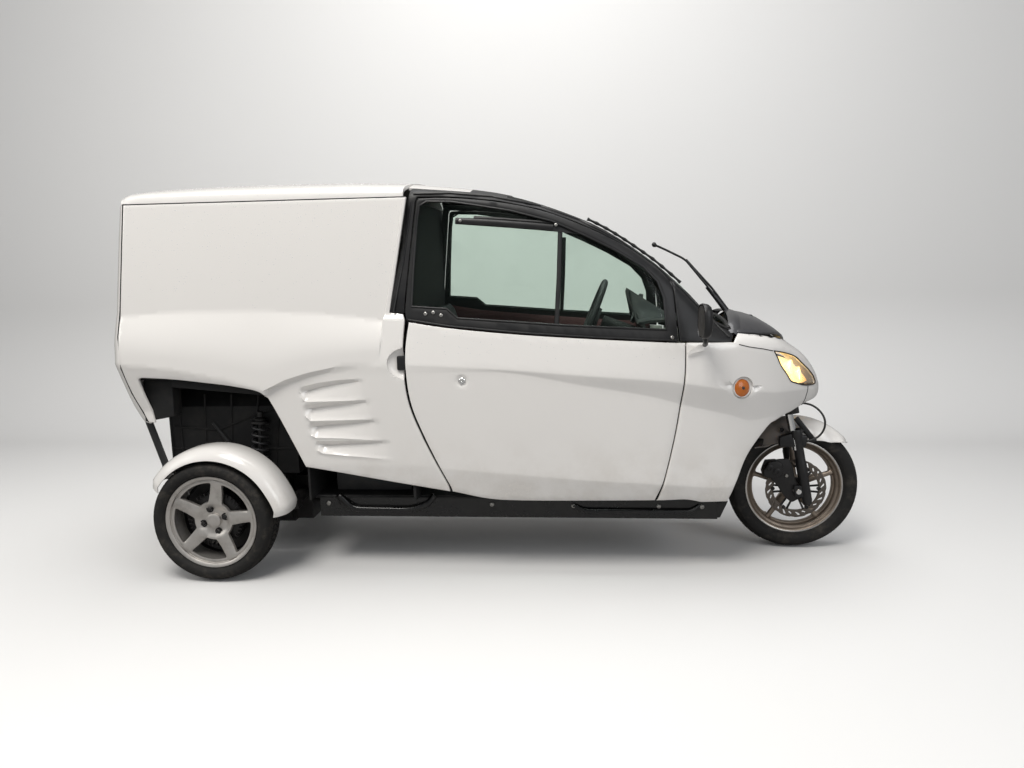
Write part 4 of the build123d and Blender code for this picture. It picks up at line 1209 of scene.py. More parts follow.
def marker_recess(dx, dz):
    """Depth in mm of the leaf-shaped recess either side of the marker, and of its round well."""
    tip, near, high_tip, high_near, low_tip, low_near = MARKER_LEAF[dx > 0]
    share = (tip - abs(dx)) / (tip - near)
    depth = 0
    if 0 < share < 1.6:
        high, low = high_tip + (high_near - high_tip) * share, low_tip + (low_near - low_tip) * min(share, 1)
        if low < dz < high:
            depth = 9 * min(share * 2, 1) * (dz - low) / (high - low)
    return max(depth, 13 * (1 - smooth_step(math.hypot(dx, dz), 36, 40)))


def cowl_skin(x, v):
    """Front skin with the recess of the side marker."""
    at = over_top(x, v)
    dx, dz = at.x / MM - MARKER[0], at.z / MM - MARKER[1]
    if abs(dx) < 100 and abs(dz) < 50:
        at.y -= math.copysign(marker_recess(dx, dz) * MM, at.y)
    return at


def laid(points, radius, proud=0.0):
    """Bead or seam along the left cabin side through points in mm."""
    line = walk([Vector(p) for p in points], 18, False)
    return tube([on_skin(p.x, p.y, proud)[0] for p in line], radius, 8)


def bolt(at, out, radius, height):
    """Domed bolt head with a socket."""
    return turned([(0.0, height * 0.45), (radius * 0.42, height * 0.45), (radius * 0.46, height),
                   (radius * 0.75, height * 0.92), (radius * 0.98, height * 0.55), (radius, 0.0), (radius, -0.004),
                   (0.0, -0.004)],
                  14, standing(at, Vector(out).normalized()))


def strip(rows, wall):
    """Closed sheet from rows of points, thickened along its own normals."""
    bm = bmesh.new()
    grid = [[Vector(p) for p in row] for row in rows]
    outer = [[bm.verts.new(p) for p in row] for row in grid]
    inner = []
    for i, row in enumerate(grid):
        line = []
        for j, p in enumerate(row):
            along = grid[min(i + 1, len(grid) - 1)][j] - grid[max(i - 1, 0)][j]
            across = row[min(j + 1, len(row) - 1)] - row[max(j - 1, 0)]
            normal = along.cross(across)
            line.append(bm.verts.new(p - (normal.normalized() if normal.length > 1e-12 else Vector()) * wall))
        inner.append(line)
    for a, b in zip(range(len(grid) - 1), range(1, len(grid))):
        for j in range(len(grid[0]) - 1):
            bm.faces.new((outer[a][j], outer[b][j], outer[b][j + 1], outer[a][j + 1]))
            bm.faces.new((inner[a][j + 1], inner[b][j + 1], inner[b][j], inner[a][j]))
    for row_out, row_in in ((outer[0], inner[0]), (outer[-1], inner[-1])):
        for j in range(len(row_out) - 1):
            bm.faces.new((row_out[j], row_out[j + 1], row_in[j + 1], row_in[j]))
    for j in (0, -1):
        for a, b in zip(range(len(grid) - 1), range(1, len(grid))):
            bm.faces.new((outer[a][j], outer[b][j], inner[b][j], inner[a][j]))
    return bm


def half_top(x):
    """Distance from the centreline round to the windscreen's edge on the pillar."""
    return -section(x)[0][0] - 0.050


class CAR_OT_cabin(Builder, bpy.types.Operator):
    """Skins the cabin: pillar frame, roof band, windscreen, front cowl with its nose, and lid"""
    bl_idname, bl_label = "car.cabin", "Cabin"

    def build(self):
        self.pillars()
        self.screen()
        self.cowl()
        self.lid()

    def pillars(self):
        """Pillar frame, its beads, and the roof and brow between the pillars."""
        foot = side_line(PILLAR_FOOT)
        top = [Vector((0.868 - 0.02 * k, -0.056)) for k in range(58)]
        rear = [Vector((x * MM, s_at_height(-0.290, z * MM)))
                for x, z in ((-278, 1430), (-296, 1320), (-318, 1190), (-337, 1100))]
        outline = [*foot, Vector((0.880, s_at_height(0.868, 0.905))), *top, Vector((-0.274, -0.056)), *rear]

        def place(x, s):
            at = skin(x, s)
            if x < -0.29:
                at.x = x
                at.y = min(at.y, 0.4095)
            return at

        bm = panel(place, outline, (), self.size.cell, 0.014, 0.004)
        piece("pillar_skin", paired(bm), self.mat["frame"], "cabin", ("pillar_frame",))
        beads = [laid([(-262, 1428), (-130, 1428), (20, 1412), (191, 1375), (331, 1322), (471, 1248), (600, 1158),
                       (700, 1064), (790, 970), (862, 896)],
                      0.0050, 0.001),
                 laid([(672, 1010), (664, 1100)], 0.003, 0.001), laid([(684, 892), (664, 1080)], 0.0028, 0.0),
                 laid([(-338, 1010), (-300, 1190), (-268, 1400)], 0.003, 0.001)]
        piece("pillar_bead", paired(merged(*beads)), self.mat["satin"], "cabin")
        rows = []
        for k in range(14):
            x = -0.288 + (0.075 + 0.288) * k / 13
            edge = half_top(x)
            rows.append([over_top(x, edge * (w / 12)) for w in range(-12, 13)])
        piece("roof_front_skin", strip(rows[:9], 0.008), self.mat["roof"], "cabin")
        piece("roof_brow_skin", strip(rows[8:], 0.008), self.mat["frame"], "cabin")

    def screen(self):
        """Windscreen and its rubber seal."""
        rows = []
        for k in range(40):
            x = 0.078 + (0.866 - 0.078) * k / 39
            edge = half_top(x)
            rows.append([over_top(x, edge * w / 12) for w in range(-12, 13)])
        for row in rows:
            for p in row:
                p.z -= 0.002
        piece("windscreen_glass", strip(rows, 0.005), self.mat["glass"], "cabin", ("windscreen",))
        spots = [0.07 + 0.05 * k for k in range(17)]
        rails = [tube([over_top(x, s * (half_top(x) - 0.004)) for x in spots], 0.006, 8) for s in (-1, 1)]
        foot = [over_top(0.868, half_top(0.868) * w / 10) + Vector((0.004, 0, 0.002)) for w in range(-10, 11)]
        rails.append(tube(foot, 0.008, 8))
        piece("windscreen_seal", merged(*rails), self.mat["seal"], "cabin")

    def cowl(self):
        """Painted front with its nose, headlamp openings and seams."""
        flat = walk(rounded([(x * MM, z * MM, *mark) for x, z, *mark in COWL_EDGE
                             + [(1266, 700, 1), (705, 1200, 1)]]), 0.012)
        last = next(i for i, p in enumerate(flat) if p.x > 1.2655)
        edge = [Vector((p.x, v_at(p.x, p.y))) for p in flat[:last + 1]]
        tip = [Vector((1.2765, 0.020)), Vector((1.279, 0.006))]
        lid = [Vector((x, s_at_width(x, y) - float(section(x)[0][0]) if y else 0)) for x, y in reversed(LID_EDGE)]
        outline = [*lid, *side_line([(880, 880), (866, 881), (707, 885)], v_at), *edge, *tip]
        outline += [Vector((p.x, -p.y)) for p in reversed(outline[1:])]
        lamps = [[Vector((p.x, s * p.y)) for p in side_loop(HEADLAMP, v_at)] for s in (1, -1)]
        x0, z0 = MARKER
        guides = [[(x * MM, v_at(x * MM, z * MM)) for x, z in line] for line in
                  ([(x0 - 94, z0 + 19), (x0 - 38, z0 + 14.4)], [(x0 - 90, z0 + 17), (x0 - 38, z0 + 12.6)],
                   [(x0 - 94, z0 + 17), (x0 - 34, z0 - 25)], [(x0 + 40, z0 + 4.4), (x0 + 80, z0 + 1)],
                   [(x0 + 40, z0 + 2.6), (x0 + 74, z0)], [(x0 + 34, z0 - 35), (x0 + 80, z0)])]
        for radius in (34, 37, 41, 45):
            ring = [((x0 + radius * math.cos(a)) * MM, (z0 + radius * math.sin(a)) * MM) for a in turns(32, 1)]
            guides.append([(x, v_at(x, z)) for x, z in ring])
        guides += [[(x, -v) for x, v in line] for line in guides]
        guides += creases(v_at, 0.58, 1.20) + creases(v_at, 0.58, 1.20, -1)
        bm = panel(cowl_skin, outline, lamps, self.size.cell * 0.7, 0.008, 0.0035, guides)
        piece("cowl_skin", bm, self.mat["paint"], "cabin", ("front_cowl", "nose_cap"), 40)
        seams = [laid([(897, 871), (935, 860), (995, 848), (1034, 838)], 0.0016, 0.0),
                 laid([(1203, 684), (1200, 660), (1195, 635), (1183, 609)], 0.0018, 0.0)]
        piece("cowl_seams", paired(merged(*seams)), self.mat["seal"], "cabin")

    def lid(self):
        """Grey lid with its gasket, vent, cheeks and washer nozzle."""
        front = [Vector((x - 0.003, max(y - 0.002, 0))) for x, y in LID_EDGE]
        half = [Vector(p) for p in ((0.934, 0.0), (0.930, 0.100), (0.922, 0.190), (0.908, 0.250))] + front
        outline = half + [Vector((p.x, -p.y)) for p in reversed(half[1:-1])]

        def place(x, y):
            crown = crossing(((0.89, 0.970), (0.934, 0.969), (0.969, 0.962), (1.021, 0.944), (1.077, 0.910),
                              (1.110, 0.881), (1.137, 0.847)), x)
            at = skin(x, s_at_width(x, abs(y)))
            bow = max(1 - (abs(y) / 0.285) ** 2.6, 0)
            return Vector((x, y, at.z + 0.003 + max(crown - section(x)[2][0], 0) * bow))

        bm = panel(place, outline, (), self.size.cell * 0.9, 0.010, 0.004)
        piece("lid_skin", bm, self.mat["lid"], "cabin", ("bonnet_lid",))
        gaskets = [tube([skin(x, s_at_width(x, max(y - 0.001, 0.001))) for x, y in LID_EDGE], 0.009, 8)]
        for v in gaskets[0].verts:
            v.co.z -= 0.010
        gaskets.append(mirrored(gaskets[0]))
        piece("lid_gasket", merged(*gaskets), self.mat["seal"], "cabin")
        rows = []
        for k in range(6):
            x = 0.862 + 0.040 * k / 5
            rows.append([Vector((x + 0.030 * (1 - (w / 12) ** 2), 0.300 * w / 12,
                                 0.936 - 0.006 * k - 0.050 * (w / 12) ** 2))
                         for w in range(-12, 13)])
        piece("cowl_vent_skin", strip(rows, 0.006), self.mat["satin"], "cabin")
        lines = ([(0.904, 0.2865, 0.893), (0.911, 0.255, 0.930), (0.923, 0.190, 0.957), (0.931, 0.100, 0.967),
                  (0.935, 0.0, 0.9695)],
                 [(0.884, 0.2890, 0.906), (0.896, 0.240, 0.947), (0.906, 0.180, 0.965), (0.914, 0.095, 0.972),
                  (0.918, 0.0, 0.974)],
                 [(0.868, 0.2900, 0.905), (0.876, 0.230, 0.944), (0.884, 0.170, 0.960), (0.892, 0.090, 0.968),
                  (0.896, 0.0, 0.970)])
        rows = [[Vector(p) for p in line] + [Vector((x, -y, z)) for x, y, z in reversed(line[:-1])] for line in lines]
        piece("lid_cheeks", strip(rows, -0.004), self.mat["lid"], "cabin")
        nozzle = block((0.985, -0.016, 0.944), (1.012, 0.016, 0.954), 0.004)
        piece("washer_nozzle", nozzle, self.mat["satin"], "cabin")


class CAR_OT_doors(Builder, bpy.types.Operator):
    """Skins both doors: lower panels, window frames, glass, bars, latches and locks"""
    bl_idname, bl_label = "car.doors", "Doors"

    def build(self):
        low = side_loop(DOOR_LOW)
        high = side_loop(DOOR_HIGH)
        hole = side_loop(OPENING)
        lock_x, lock_z = LOCK
        dish = [[(lock_x + r * math.cos(a), s_at_height(lock_x + r * math.cos(a), lock_z + r * math.sin(a)))
                 for a in turns(20, 1)] for r in (0.017, 0.021, 0.025)]
        lower = panel(door_skin, low, (), self.size.cell, 0.012, self.size.lip,
                      [*dish, *creases(s_at_height, -0.29, 0.72)])
        upper = panel(skin, high, [hole], self.size.cell * 0.8, 0.014, 0.004)
        pane = panel(lambda x, s: skin(x, s) - Vector((0, 0.010, 0)), grow(hole, 0.008), (), 0.04, 0.005, 0)
        for side in SIDES:
            body = f"door_{side}"
            piece(f"door_skin_{side}", on_side(lower.copy(), side), self.mat["paint"], body, (f"door_panel_{side}",))
            piece(f"door_frame_skin_{side}", on_side(upper.copy(), side), self.mat["frame"], body,
                  (f"door_frame_{side}",))
            piece(f"door_glass_pane_{side}", on_side(pane.copy(), side), self.mat["glass_door"], body,
                  (f"door_glass_{side}",))
            self.fittings(side, body)
        for bm in (lower, upper, pane):
            bm.free()
        for side in SIDES:
            latch = block((-0.333, 0.395, 0.800), (-0.300, 0.428, 0.852), 0.005)
            piece(f"latch_{side}", on_side(latch, side), self.mat["satin"], "cabin",
                  ("door_latches",) if side == "left" else ())

    def upper_bar(self):
        """Bar with its strip and gusset inside the upper window."""
        bar_line = [on_skin(x, z, -0.006)[0] for x, z in ((-112, 1330), (-20, 1323), (80, 1314), (170, 1305),
                                                          (236, 1298))]
        bar = tube(bar_line, [0.0115, 0.0130, 0.0130, 0.0130, 0.0130], 14, 0.5, UP)
        strip_line = [on_skin(x, z, -0.010)[0] for x, z in ((-46, 1341), (60, 1333), (180, 1321), (232, 1316))]
        gusset = plate([(222, 1300), (243, 1322), (262, 1326), (300, 1305), (356, 1268), (300, 1276), (236, 1284)],
                       0.0, 0.006, "XZ", 0.8)
        for v in gusset.verts:
            y = side_y(v.co.x * MM, v.co.z * MM) - 0.006 - (0.004 if v.co.y > 0.003 else 0)
            v.co = Vector((v.co.x * MM, y, v.co.z * MM))
        return [bar, tube(strip_line, 0.006, 8), gusset]

    def fittings(self, side, body):
        """Beads, bars, bolts, lock and trim of one door."""
        beads = [laid([p[:2] for p in OPENING + OPENING[:1]], 0.0036, 0.0005),
                 laid([(672, 893), (399, 910), (116, 932), (-135, 958), (-284, 983)], 0.003, 0.001)]
        piece(f"window_bead_{side}", on_side(merged(*beads), side), self.mat["satin"], body)
        bars = self.upper_bar() if side == "right" else []
        divider = tube([on_skin(x, z, -0.012)[0] for x, z in ((262, 1286), (256, 1120), (246, 952))], 0.0085, 8, 0.6,
                       Vector((1, 0, 0)))
        piece(f"window_bars_{side}", on_side(merged(*bars, divider), side), self.mat["satin"], body)
        heads = [bolt(*on_skin(x, z, 0.001), 0.0065, 0.003)
                 for x, z in ((-222, 1003), (-194, 1007), (-166, 997), (654, 904))]
        if side == "right":
            heads += [bolt(*on_skin(x, z, 0.004), 0.0055, 0.003) for x, z in ((-94, 1329), (246, 1306))]
        piece(f"door_bolts_{side}", on_side(merged(*heads), side), self.mat["steel"], body)
        at, out = on_skin(*(round(c / MM) for c in LOCK))
        lock = turned([(0.0, 0.001), (0.003, 0.001), (0.0036, 0.0025), (0.0095, 0.003), (0.0115, 0.0015),
                       (0.0135, 0.0015), (0.0150, -0.001), (0.0152, -0.006), (0.0, -0.006)], 28,
                      standing(at - out * 0.003, out))
        piece(f"lock_{side}", on_side(lock, side), self.mat["chrome"], body)
        rail = walk([Vector((-0.27, 0.972)), Vector((-0.12, 0.946)), Vector((0.12, 0.922)), Vector((0.40, 0.900)),
                     Vector((0.64, 0.884))], 0.04, False)
        rows = [[Vector((p.x, side_y(p.x, p.y) - 0.022 - d, p.y + h)) for p in rail]
                for d, h in ((0, 0.018), (0.030, 0.020), (0.042, 0), (0.044, -0.24), (0.0, -0.25))]
        piece(f"door_trim_{side}", on_side(strip(rows, 0.003), side), self.mat["trim"], body)


class CAR_OT_lamps(Builder, bpy.types.Operator):
    """Builds the headlamps and side markers"""
    bl_idname, bl_label = "car.lamps", "Lamps"

    def build(self):
        outline = grow(side_loop(HEADLAMP, v_at), -0.003)
        cover = panel(over_top, outline, (), 0.014, 0.003, 0.004)
        piece("headlamp_covers", paired(cover), self.mat["clear"], "cabin", ("headlamp_lenses",))
        bulbs = []
        bowls = [panel(lambda x, v: over_top(x, v) - Vector((0.020, 0.026, 0.006)), grow(outline, -0.002), (), 0.012,
                       0.004, 0.006)]
        for x, z, radius in ((1120, 764, 0.030), (1166, 738, 0.025)):
            at, out = on_skin(x, z)
            out = (out + Vector((0.9, 0, 0))).normalized()
            turn = standing(at - out * 0.030, out)
            inner = [(radius * math.sin(math.radians(a)), radius * (1 - math.cos(math.radians(a))))
                     for a in range(4, 89, 12)]
            outer = [(radius * 1.06 * math.sin(math.radians(a)), radius * (1 - math.cos(math.radians(a))) - 0.003)
                     for a in range(76, 3, -12)]
            bowls.append(turned([*inner, (radius * 1.05, radius), (radius * 1.05, radius * 0.9), *outer], 28, turn))
            bulbs.append(turned([(0.0, 0.020), (0.004, 0.0195), (0.0065, 0.016), (0.007, 0.006), (0.0, 0.006)], 16,
                                turn))
        piece("headlamp_bowls", paired(merged(*bowls)), self.mat["bowl"], "cabin")
        housing = panel(lambda x, v: over_top(x, v) - Vector((0.028, 0.036, 0.010)), grow(outline, 0.008), (), 0.014,
                        0.004, 0.008)
        piece("headlamp_housings", paired(housing), self.mat["liner"], "cabin")
        piece("headlamp_bulbs", paired(merged(*bulbs)), self.mat["bulb"], "cabin")
        loop = side_loop(HEADLAMP, v_at)
        seal = tube([over_top(p.x, p.y) for p in loop + loop[:1]], 0.0024, 8)
        piece("headlamp_seal", paired(seal), self.mat["seal"], "cabin")
        at, out = on_skin(*MARKER)
        turn = standing(at - out * 0.014, out)
        dome = turned([(0.0, 0.0165), (0.008, 0.016), (0.018, 0.0145), (0.026, 0.0115), (0.0315, 0.007),
                       (0.0325, 0.001), (0.0, 0.001)], 48, turn)
        ring = turned([(0.0325, 0.0), (0.0325, 0.009), (0.0345, 0.0095), (0.0355, 0.0), (0.034, -0.002)], 48, turn)
        dot = turned([(0.0, 0.0185), (0.004, 0.0182), (0.006, 0.017), (0.0062, 0.013), (0.0, 0.013)], 20, turn)
        piece("marker_domes", paired(dome), self.mat["amber"], "cabin", ("side_markers",))
        piece("marker_rings", paired(ring), self.mat["paint"], "cabin")
        piece("marker_dots", paired(dot), self.mat["dash"], "cabin")


# Repeats by Geometry Nodes

GROUPS = {}


def node_group(name, *inputs):
    """Node group with a geometry in and out, the inputs given by name, kind and text, and a material."""
    group = bpy.data.node_groups.new(name, "GeometryNodeTree")
    group.interface.new_socket("Geometry", in_out="INPUT", socket_type="NodeSocketGeometry")
    group.interface.new_socket("Geometry", in_out="OUTPUT", socket_type="NodeSocketGeometry")
    for key, kind, text in (*inputs, ("Material", "Material", "Finish")):
        group.interface.new_socket(key, in_out="INPUT", socket_type=f"NodeSocket{kind}", description=text)
    return group, group.nodes.new("NodeGroupInput"), group.nodes.new("NodeGroupOutput")


def join(group, value, socket):
    """Links a socket to another, or sets it to a value."""
    if isinstance(value, bpy.types.NodeSocket):
        group.links.new(value, socket)
    else:
        socket.default_value = value


def math_node(group, operation, one, two):
    """Result of a Math node on two sockets or numbers."""
    node = group.nodes.new("ShaderNodeMath")
    node.operation = operation
    join(group, one, node.inputs[0])
    join(group, two, node.inputs[1])
    return node.outputs[0]


def wire(group, node, **links):
    """Sets or links sockets of a node by name, spaces as underscores."""
    for key, value in links.items():
        join(group, value, node.inputs[key.replace("_", " ")])


def ring_group():
    """Copies of the input mesh round an axis through Centre, Count of them."""
    group, given, result = node_group("ring_of_copies", ("Count", "Int", "Number of copies"),
                                      ("Centre", "Vector", "Middle of the ring"), ("Axis", "Vector", "Turning axis"))
    line = group.nodes.new("GeometryNodeMeshLine")
    wire(group, line, Count=given.outputs["Count"], Start_Location=given.outputs["Centre"], Offset=(0, 0, 0))
    turn = math_node(group, "DIVIDE", 2 * math.pi, given.outputs["Count"])
    index = group.nodes.new("GeometryNodeInputIndex")
    angle = math_node(group, "MULTIPLY", index.outputs[0], turn)
    rotation = group.nodes.new("FunctionNodeAxisAngleToRotation")
    wire(group, rotation, Axis=given.outputs["Axis"], Angle=angle)
    copies = group.nodes.new("GeometryNodeInstanceOnPoints")
    wire(group, copies, Points=line.outputs["Mesh"], Instance=given.outputs["Geometry"], Rotation=rotation.outputs[0])
    finish_group(group, given, copies.outputs[0], result)
    return group


def finish_group(group, given, geometry, result):
    """Ends a group: real geometry in the material given."""
    real = group.nodes.new("GeometryNodeRealizeInstances")
    group.links.new(geometry, real.inputs[0])
    dress = group.nodes.new("GeometryNodeSetMaterial")
    wire(group, dress, Geometry=real.outputs[0], Material=given.outputs["Material"])
    group.links.new(dress.outputs[0], result.inputs[0])


def coil_group():
    """Coil spring: a helix of Turns, swept with a round wire."""
    group, given, result = node_group("coil_spring", ("Turns", "Float", "Number of turns"),
                                      ("Radius", "Float", "Coil radius"), ("Height", "Float", "Free length"),
                                      ("Wire", "Float", "Wire radius"))
    spiral = group.nodes.new("GeometryNodeCurveSpiral")
    wire(group, spiral, Resolution=28, Rotations=given.outputs["Turns"], Start_Radius=given.outputs["Radius"],
         End_Radius=given.outputs["Radius"], Height=given.outputs["Height"])
    section_curve = group.nodes.new("GeometryNodeCurvePrimitiveCircle")
    wire(group, section_curve, Resolution=10, Radius=given.outputs["Wire"])
    sweep = group.nodes.new("GeometryNodeCurveToMesh")
    wire(group, sweep, Curve=spiral.outputs[0], Profile_Curve=section_curve.outputs[0], Fill_Caps=True)
    finish_group(group, given, sweep.outputs[0], result)
    return group


def bead_group():
    """Beads of water scattered over the input faces, thinned by the mesh's own wet attribute."""
    group, given, result = node_group("water_beads", ("Density", "Float", "Beads per square metre"),
                                      ("Smallest", "Float", "Smallest bead scale"),
                                      ("Largest", "Float", "Largest bead scale"), ("Seed", "Int", "Scatter seed"))
    wet = group.nodes.new("GeometryNodeInputNamedAttribute")
    wet.data_type = "FLOAT"
    wet.inputs["Name"].default_value = "wet"
    density = math_node(group, "MULTIPLY", wet.outputs[0], given.outputs["Density"])
    points = group.nodes.new("GeometryNodeDistributePointsOnFaces")
    wire(group, points, Mesh=given.outputs["Geometry"], Density=density, Seed=given.outputs["Seed"])
    ball = group.nodes.new("GeometryNodeMeshIcoSphere")
    wire(group, ball, Radius=0.001, Subdivisions=2)
    flatten = group.nodes.new("GeometryNodeTransform")
    wire(group, flatten, Geometry=ball.outputs[0], Scale=(1, 1, 0.45))
    size = group.nodes.new("FunctionNodeRandomValue")
    size.data_type = "FLOAT"
    wire(group, size, Seed=given.outputs["Seed"])
    join(group, given.outputs["Smallest"], size.inputs[2])
    join(group, given.outputs["Largest"], size.inputs[3])
    copies = group.nodes.new("GeometryNodeInstanceOnPoints")
    wire(group, copies, Points=points.outputs["Points"], Instance=flatten.outputs[0],
         Rotation=points.outputs["Rotation"], Scale=size.outputs[1])
    finish_group(group, given, copies.outputs[0], result)
    return group


def baked(holder):
    """Mesh of an object as its modifiers leave it."""
    return bpy.data.meshes.new_from_object(holder.evaluated_get(bpy.context.evaluated_depsgraph_get()))


def grown_by(group, bm, values):
    """Mesh that a node group makes from a mesh, its inputs set by name before it is first evaluated."""
    mesh = bpy.data.meshes.new("seed")
    bm.to_mesh(mesh)
    bm.free()
    holder = put("seed", mesh)
    modifier = holder.modifiers.new("nodes", "NODES")
    modifier.node_group = group
    for item in group.interface.items_tree:
        if item.in_out == "INPUT" and item.name in values:
            modifier[item.identifier] = values[item.name]
    made = baked(holder)
    holder.modifiers.clear()
    bpy.data.objects.remove(holder)
    bpy.data.meshes.remove(mesh)
    return made


def ringed(name, bm, count, centre, material, body, nodes=(), sharp=35, extra=None):
    """Piece made of copies of a mesh round a centre, and of an extra mesh. The copies start about the origin."""
    made = grown_by(GROUPS["ring"], bm, {"Count": count, "Centre": tuple(centre), "Axis": (0, -1, 0),
                                         "Material": material})
    if extra:
        copies = bmesh.new()
        copies.from_mesh(made)
        whole = merged(copies, extra)
        whole.to_mesh(made)
        whole.free()
    made.name = name
    return settle(name, made, material, body, nodes, sharp)


# Wheels

def polar(radius, degrees):
    """Point in the plane at a radius and an angle."""
    return Vector((radius * math.cos(math.radians(degrees)), radius * math.sin(math.radians(degrees))))


def soften(points, radius, steps=5):
    """Closed polygon with rounded corners."""
    points = [Vector(p) for p in points]
    out = []
    for a, b, c in zip(points[-1:] + points[:-1], points, points[1:] + points[:1]):
        out += corner(a, b, c, radius, steps, 0.42)
    return out


def windows(count, start, hub, rim, half_in, half_out, soft):
    """Outlines of the openings between spokes, about the origin."""
    found = []
    for k in range(count):
        one, two = start + 360 / count * k, start + 360 / count * (k + 1)
        a0, a1 = math.degrees(math.asin(half_in / hub)), math.degrees(math.asin(half_out / rim))
        arc = [polar(rim, one + a1 + (two - one - 2 * a1) * t / 8) for t in range(9)]
        foot = [polar(hub, two - a0 - (two - one - 2 * a0) * t / 3) for t in range(4)]
        found.append(soften(arc + foot, soft))
    return found


def tyre(radius, half, lip, crown):
    """Tyre section: radius and offset, round from one bead over the tread to the other."""
    tall = radius - lip
    side = [(lip - 0.002, half * 0.72), (lip + 0.004, half * 0.80), (lip + tall * 0.10, half * 0.86),
            (lip + tall * 0.14, half * 0.90), (lip + tall * 0.30, half * 0.975), (lip + tall * 0.45, half),
            (lip + tall * 0.60, half * 0.985), (lip + tall * 0.66, half * 0.965), (lip + tall * 0.69, half * 0.962),
            (lip + tall * 0.78, half * (0.93 - crown * 0.1)), (lip + tall * 0.88, half * (0.84 - crown * 0.35)),
            (lip + tall * 0.955, half * (0.66 - crown * 0.5)), (lip + tall * 0.985, half * (0.42 - crown * 0.4)),
            (lip + tall * 0.994, half * 0.12)]
    inner = [(lip + tall * 0.80, half * 0.5), (lip + tall * 0.4, half * 0.8), (lip - 0.002, half * 0.60)]
    return side + [(r, -y) for r, y in reversed(side)] + [(r, -y) for r, y in reversed(inner)] + inner


TREAD_DEPTH = 0.0045
RIM_PATH = (0, 1, 2, 5, 8, 11, 14, 13, 12, 9, 6, 3)


def tread_block(radius, half, angle, width, y0, y1, twist):
    """One tread block about the origin, curved with the tyre."""
    bm = bmesh.new()
    outer, inner = [], []
    for i in range(5):
        y = y0 + (y1 - y0) * i / 4
        fall = (abs(y) / half) ** 2.6
        for j in range(3):
            a = angle + width * (j / 2 - 0.5) + twist * (y - (y0 + y1) / 2) / half
            for store, r in ((outer, radius - fall * 0.030), (inner, radius - TREAD_DEPTH - fall * 0.030)):
                p = polar(r, a)
                store.append(bm.verts.new((p.x, y, p.y)))
    for i in range(4):
        for j in range(2):
            a, b, c, d = i * 3 + j, i * 3 + j + 1, (i + 1) * 3 + j + 1, (i + 1) * 3 + j
            bm.faces.new((outer[a], outer[b], outer[c], outer[d]))
            bm.faces.new((inner[d], inner[c], inner[b], inner[a]))
    for a, b in zip(RIM_PATH, RIM_PATH[1:] + RIM_PATH[:1]):
        bm.faces.new((outer[b], outer[a], inner[a], inner[b]))
    bmesh.ops.recalc_face_normals(bm, faces=bm.faces)
    return bm


def spoke_ridge(u, v, start, foot, half, height):
    """Rise of the rounded ridge on each of five spokes at a point of the wheel's face."""
    rise = 0
    for k in range(5):
        a = math.radians(start + 72 * k)
        across = abs(-u * math.sin(a) + v * math.cos(a))
        if u * math.cos(a) + v * math.sin(a) > foot:
            rise = max(rise, height * (1 - min(across / half, 1) ** 2))
    return rise


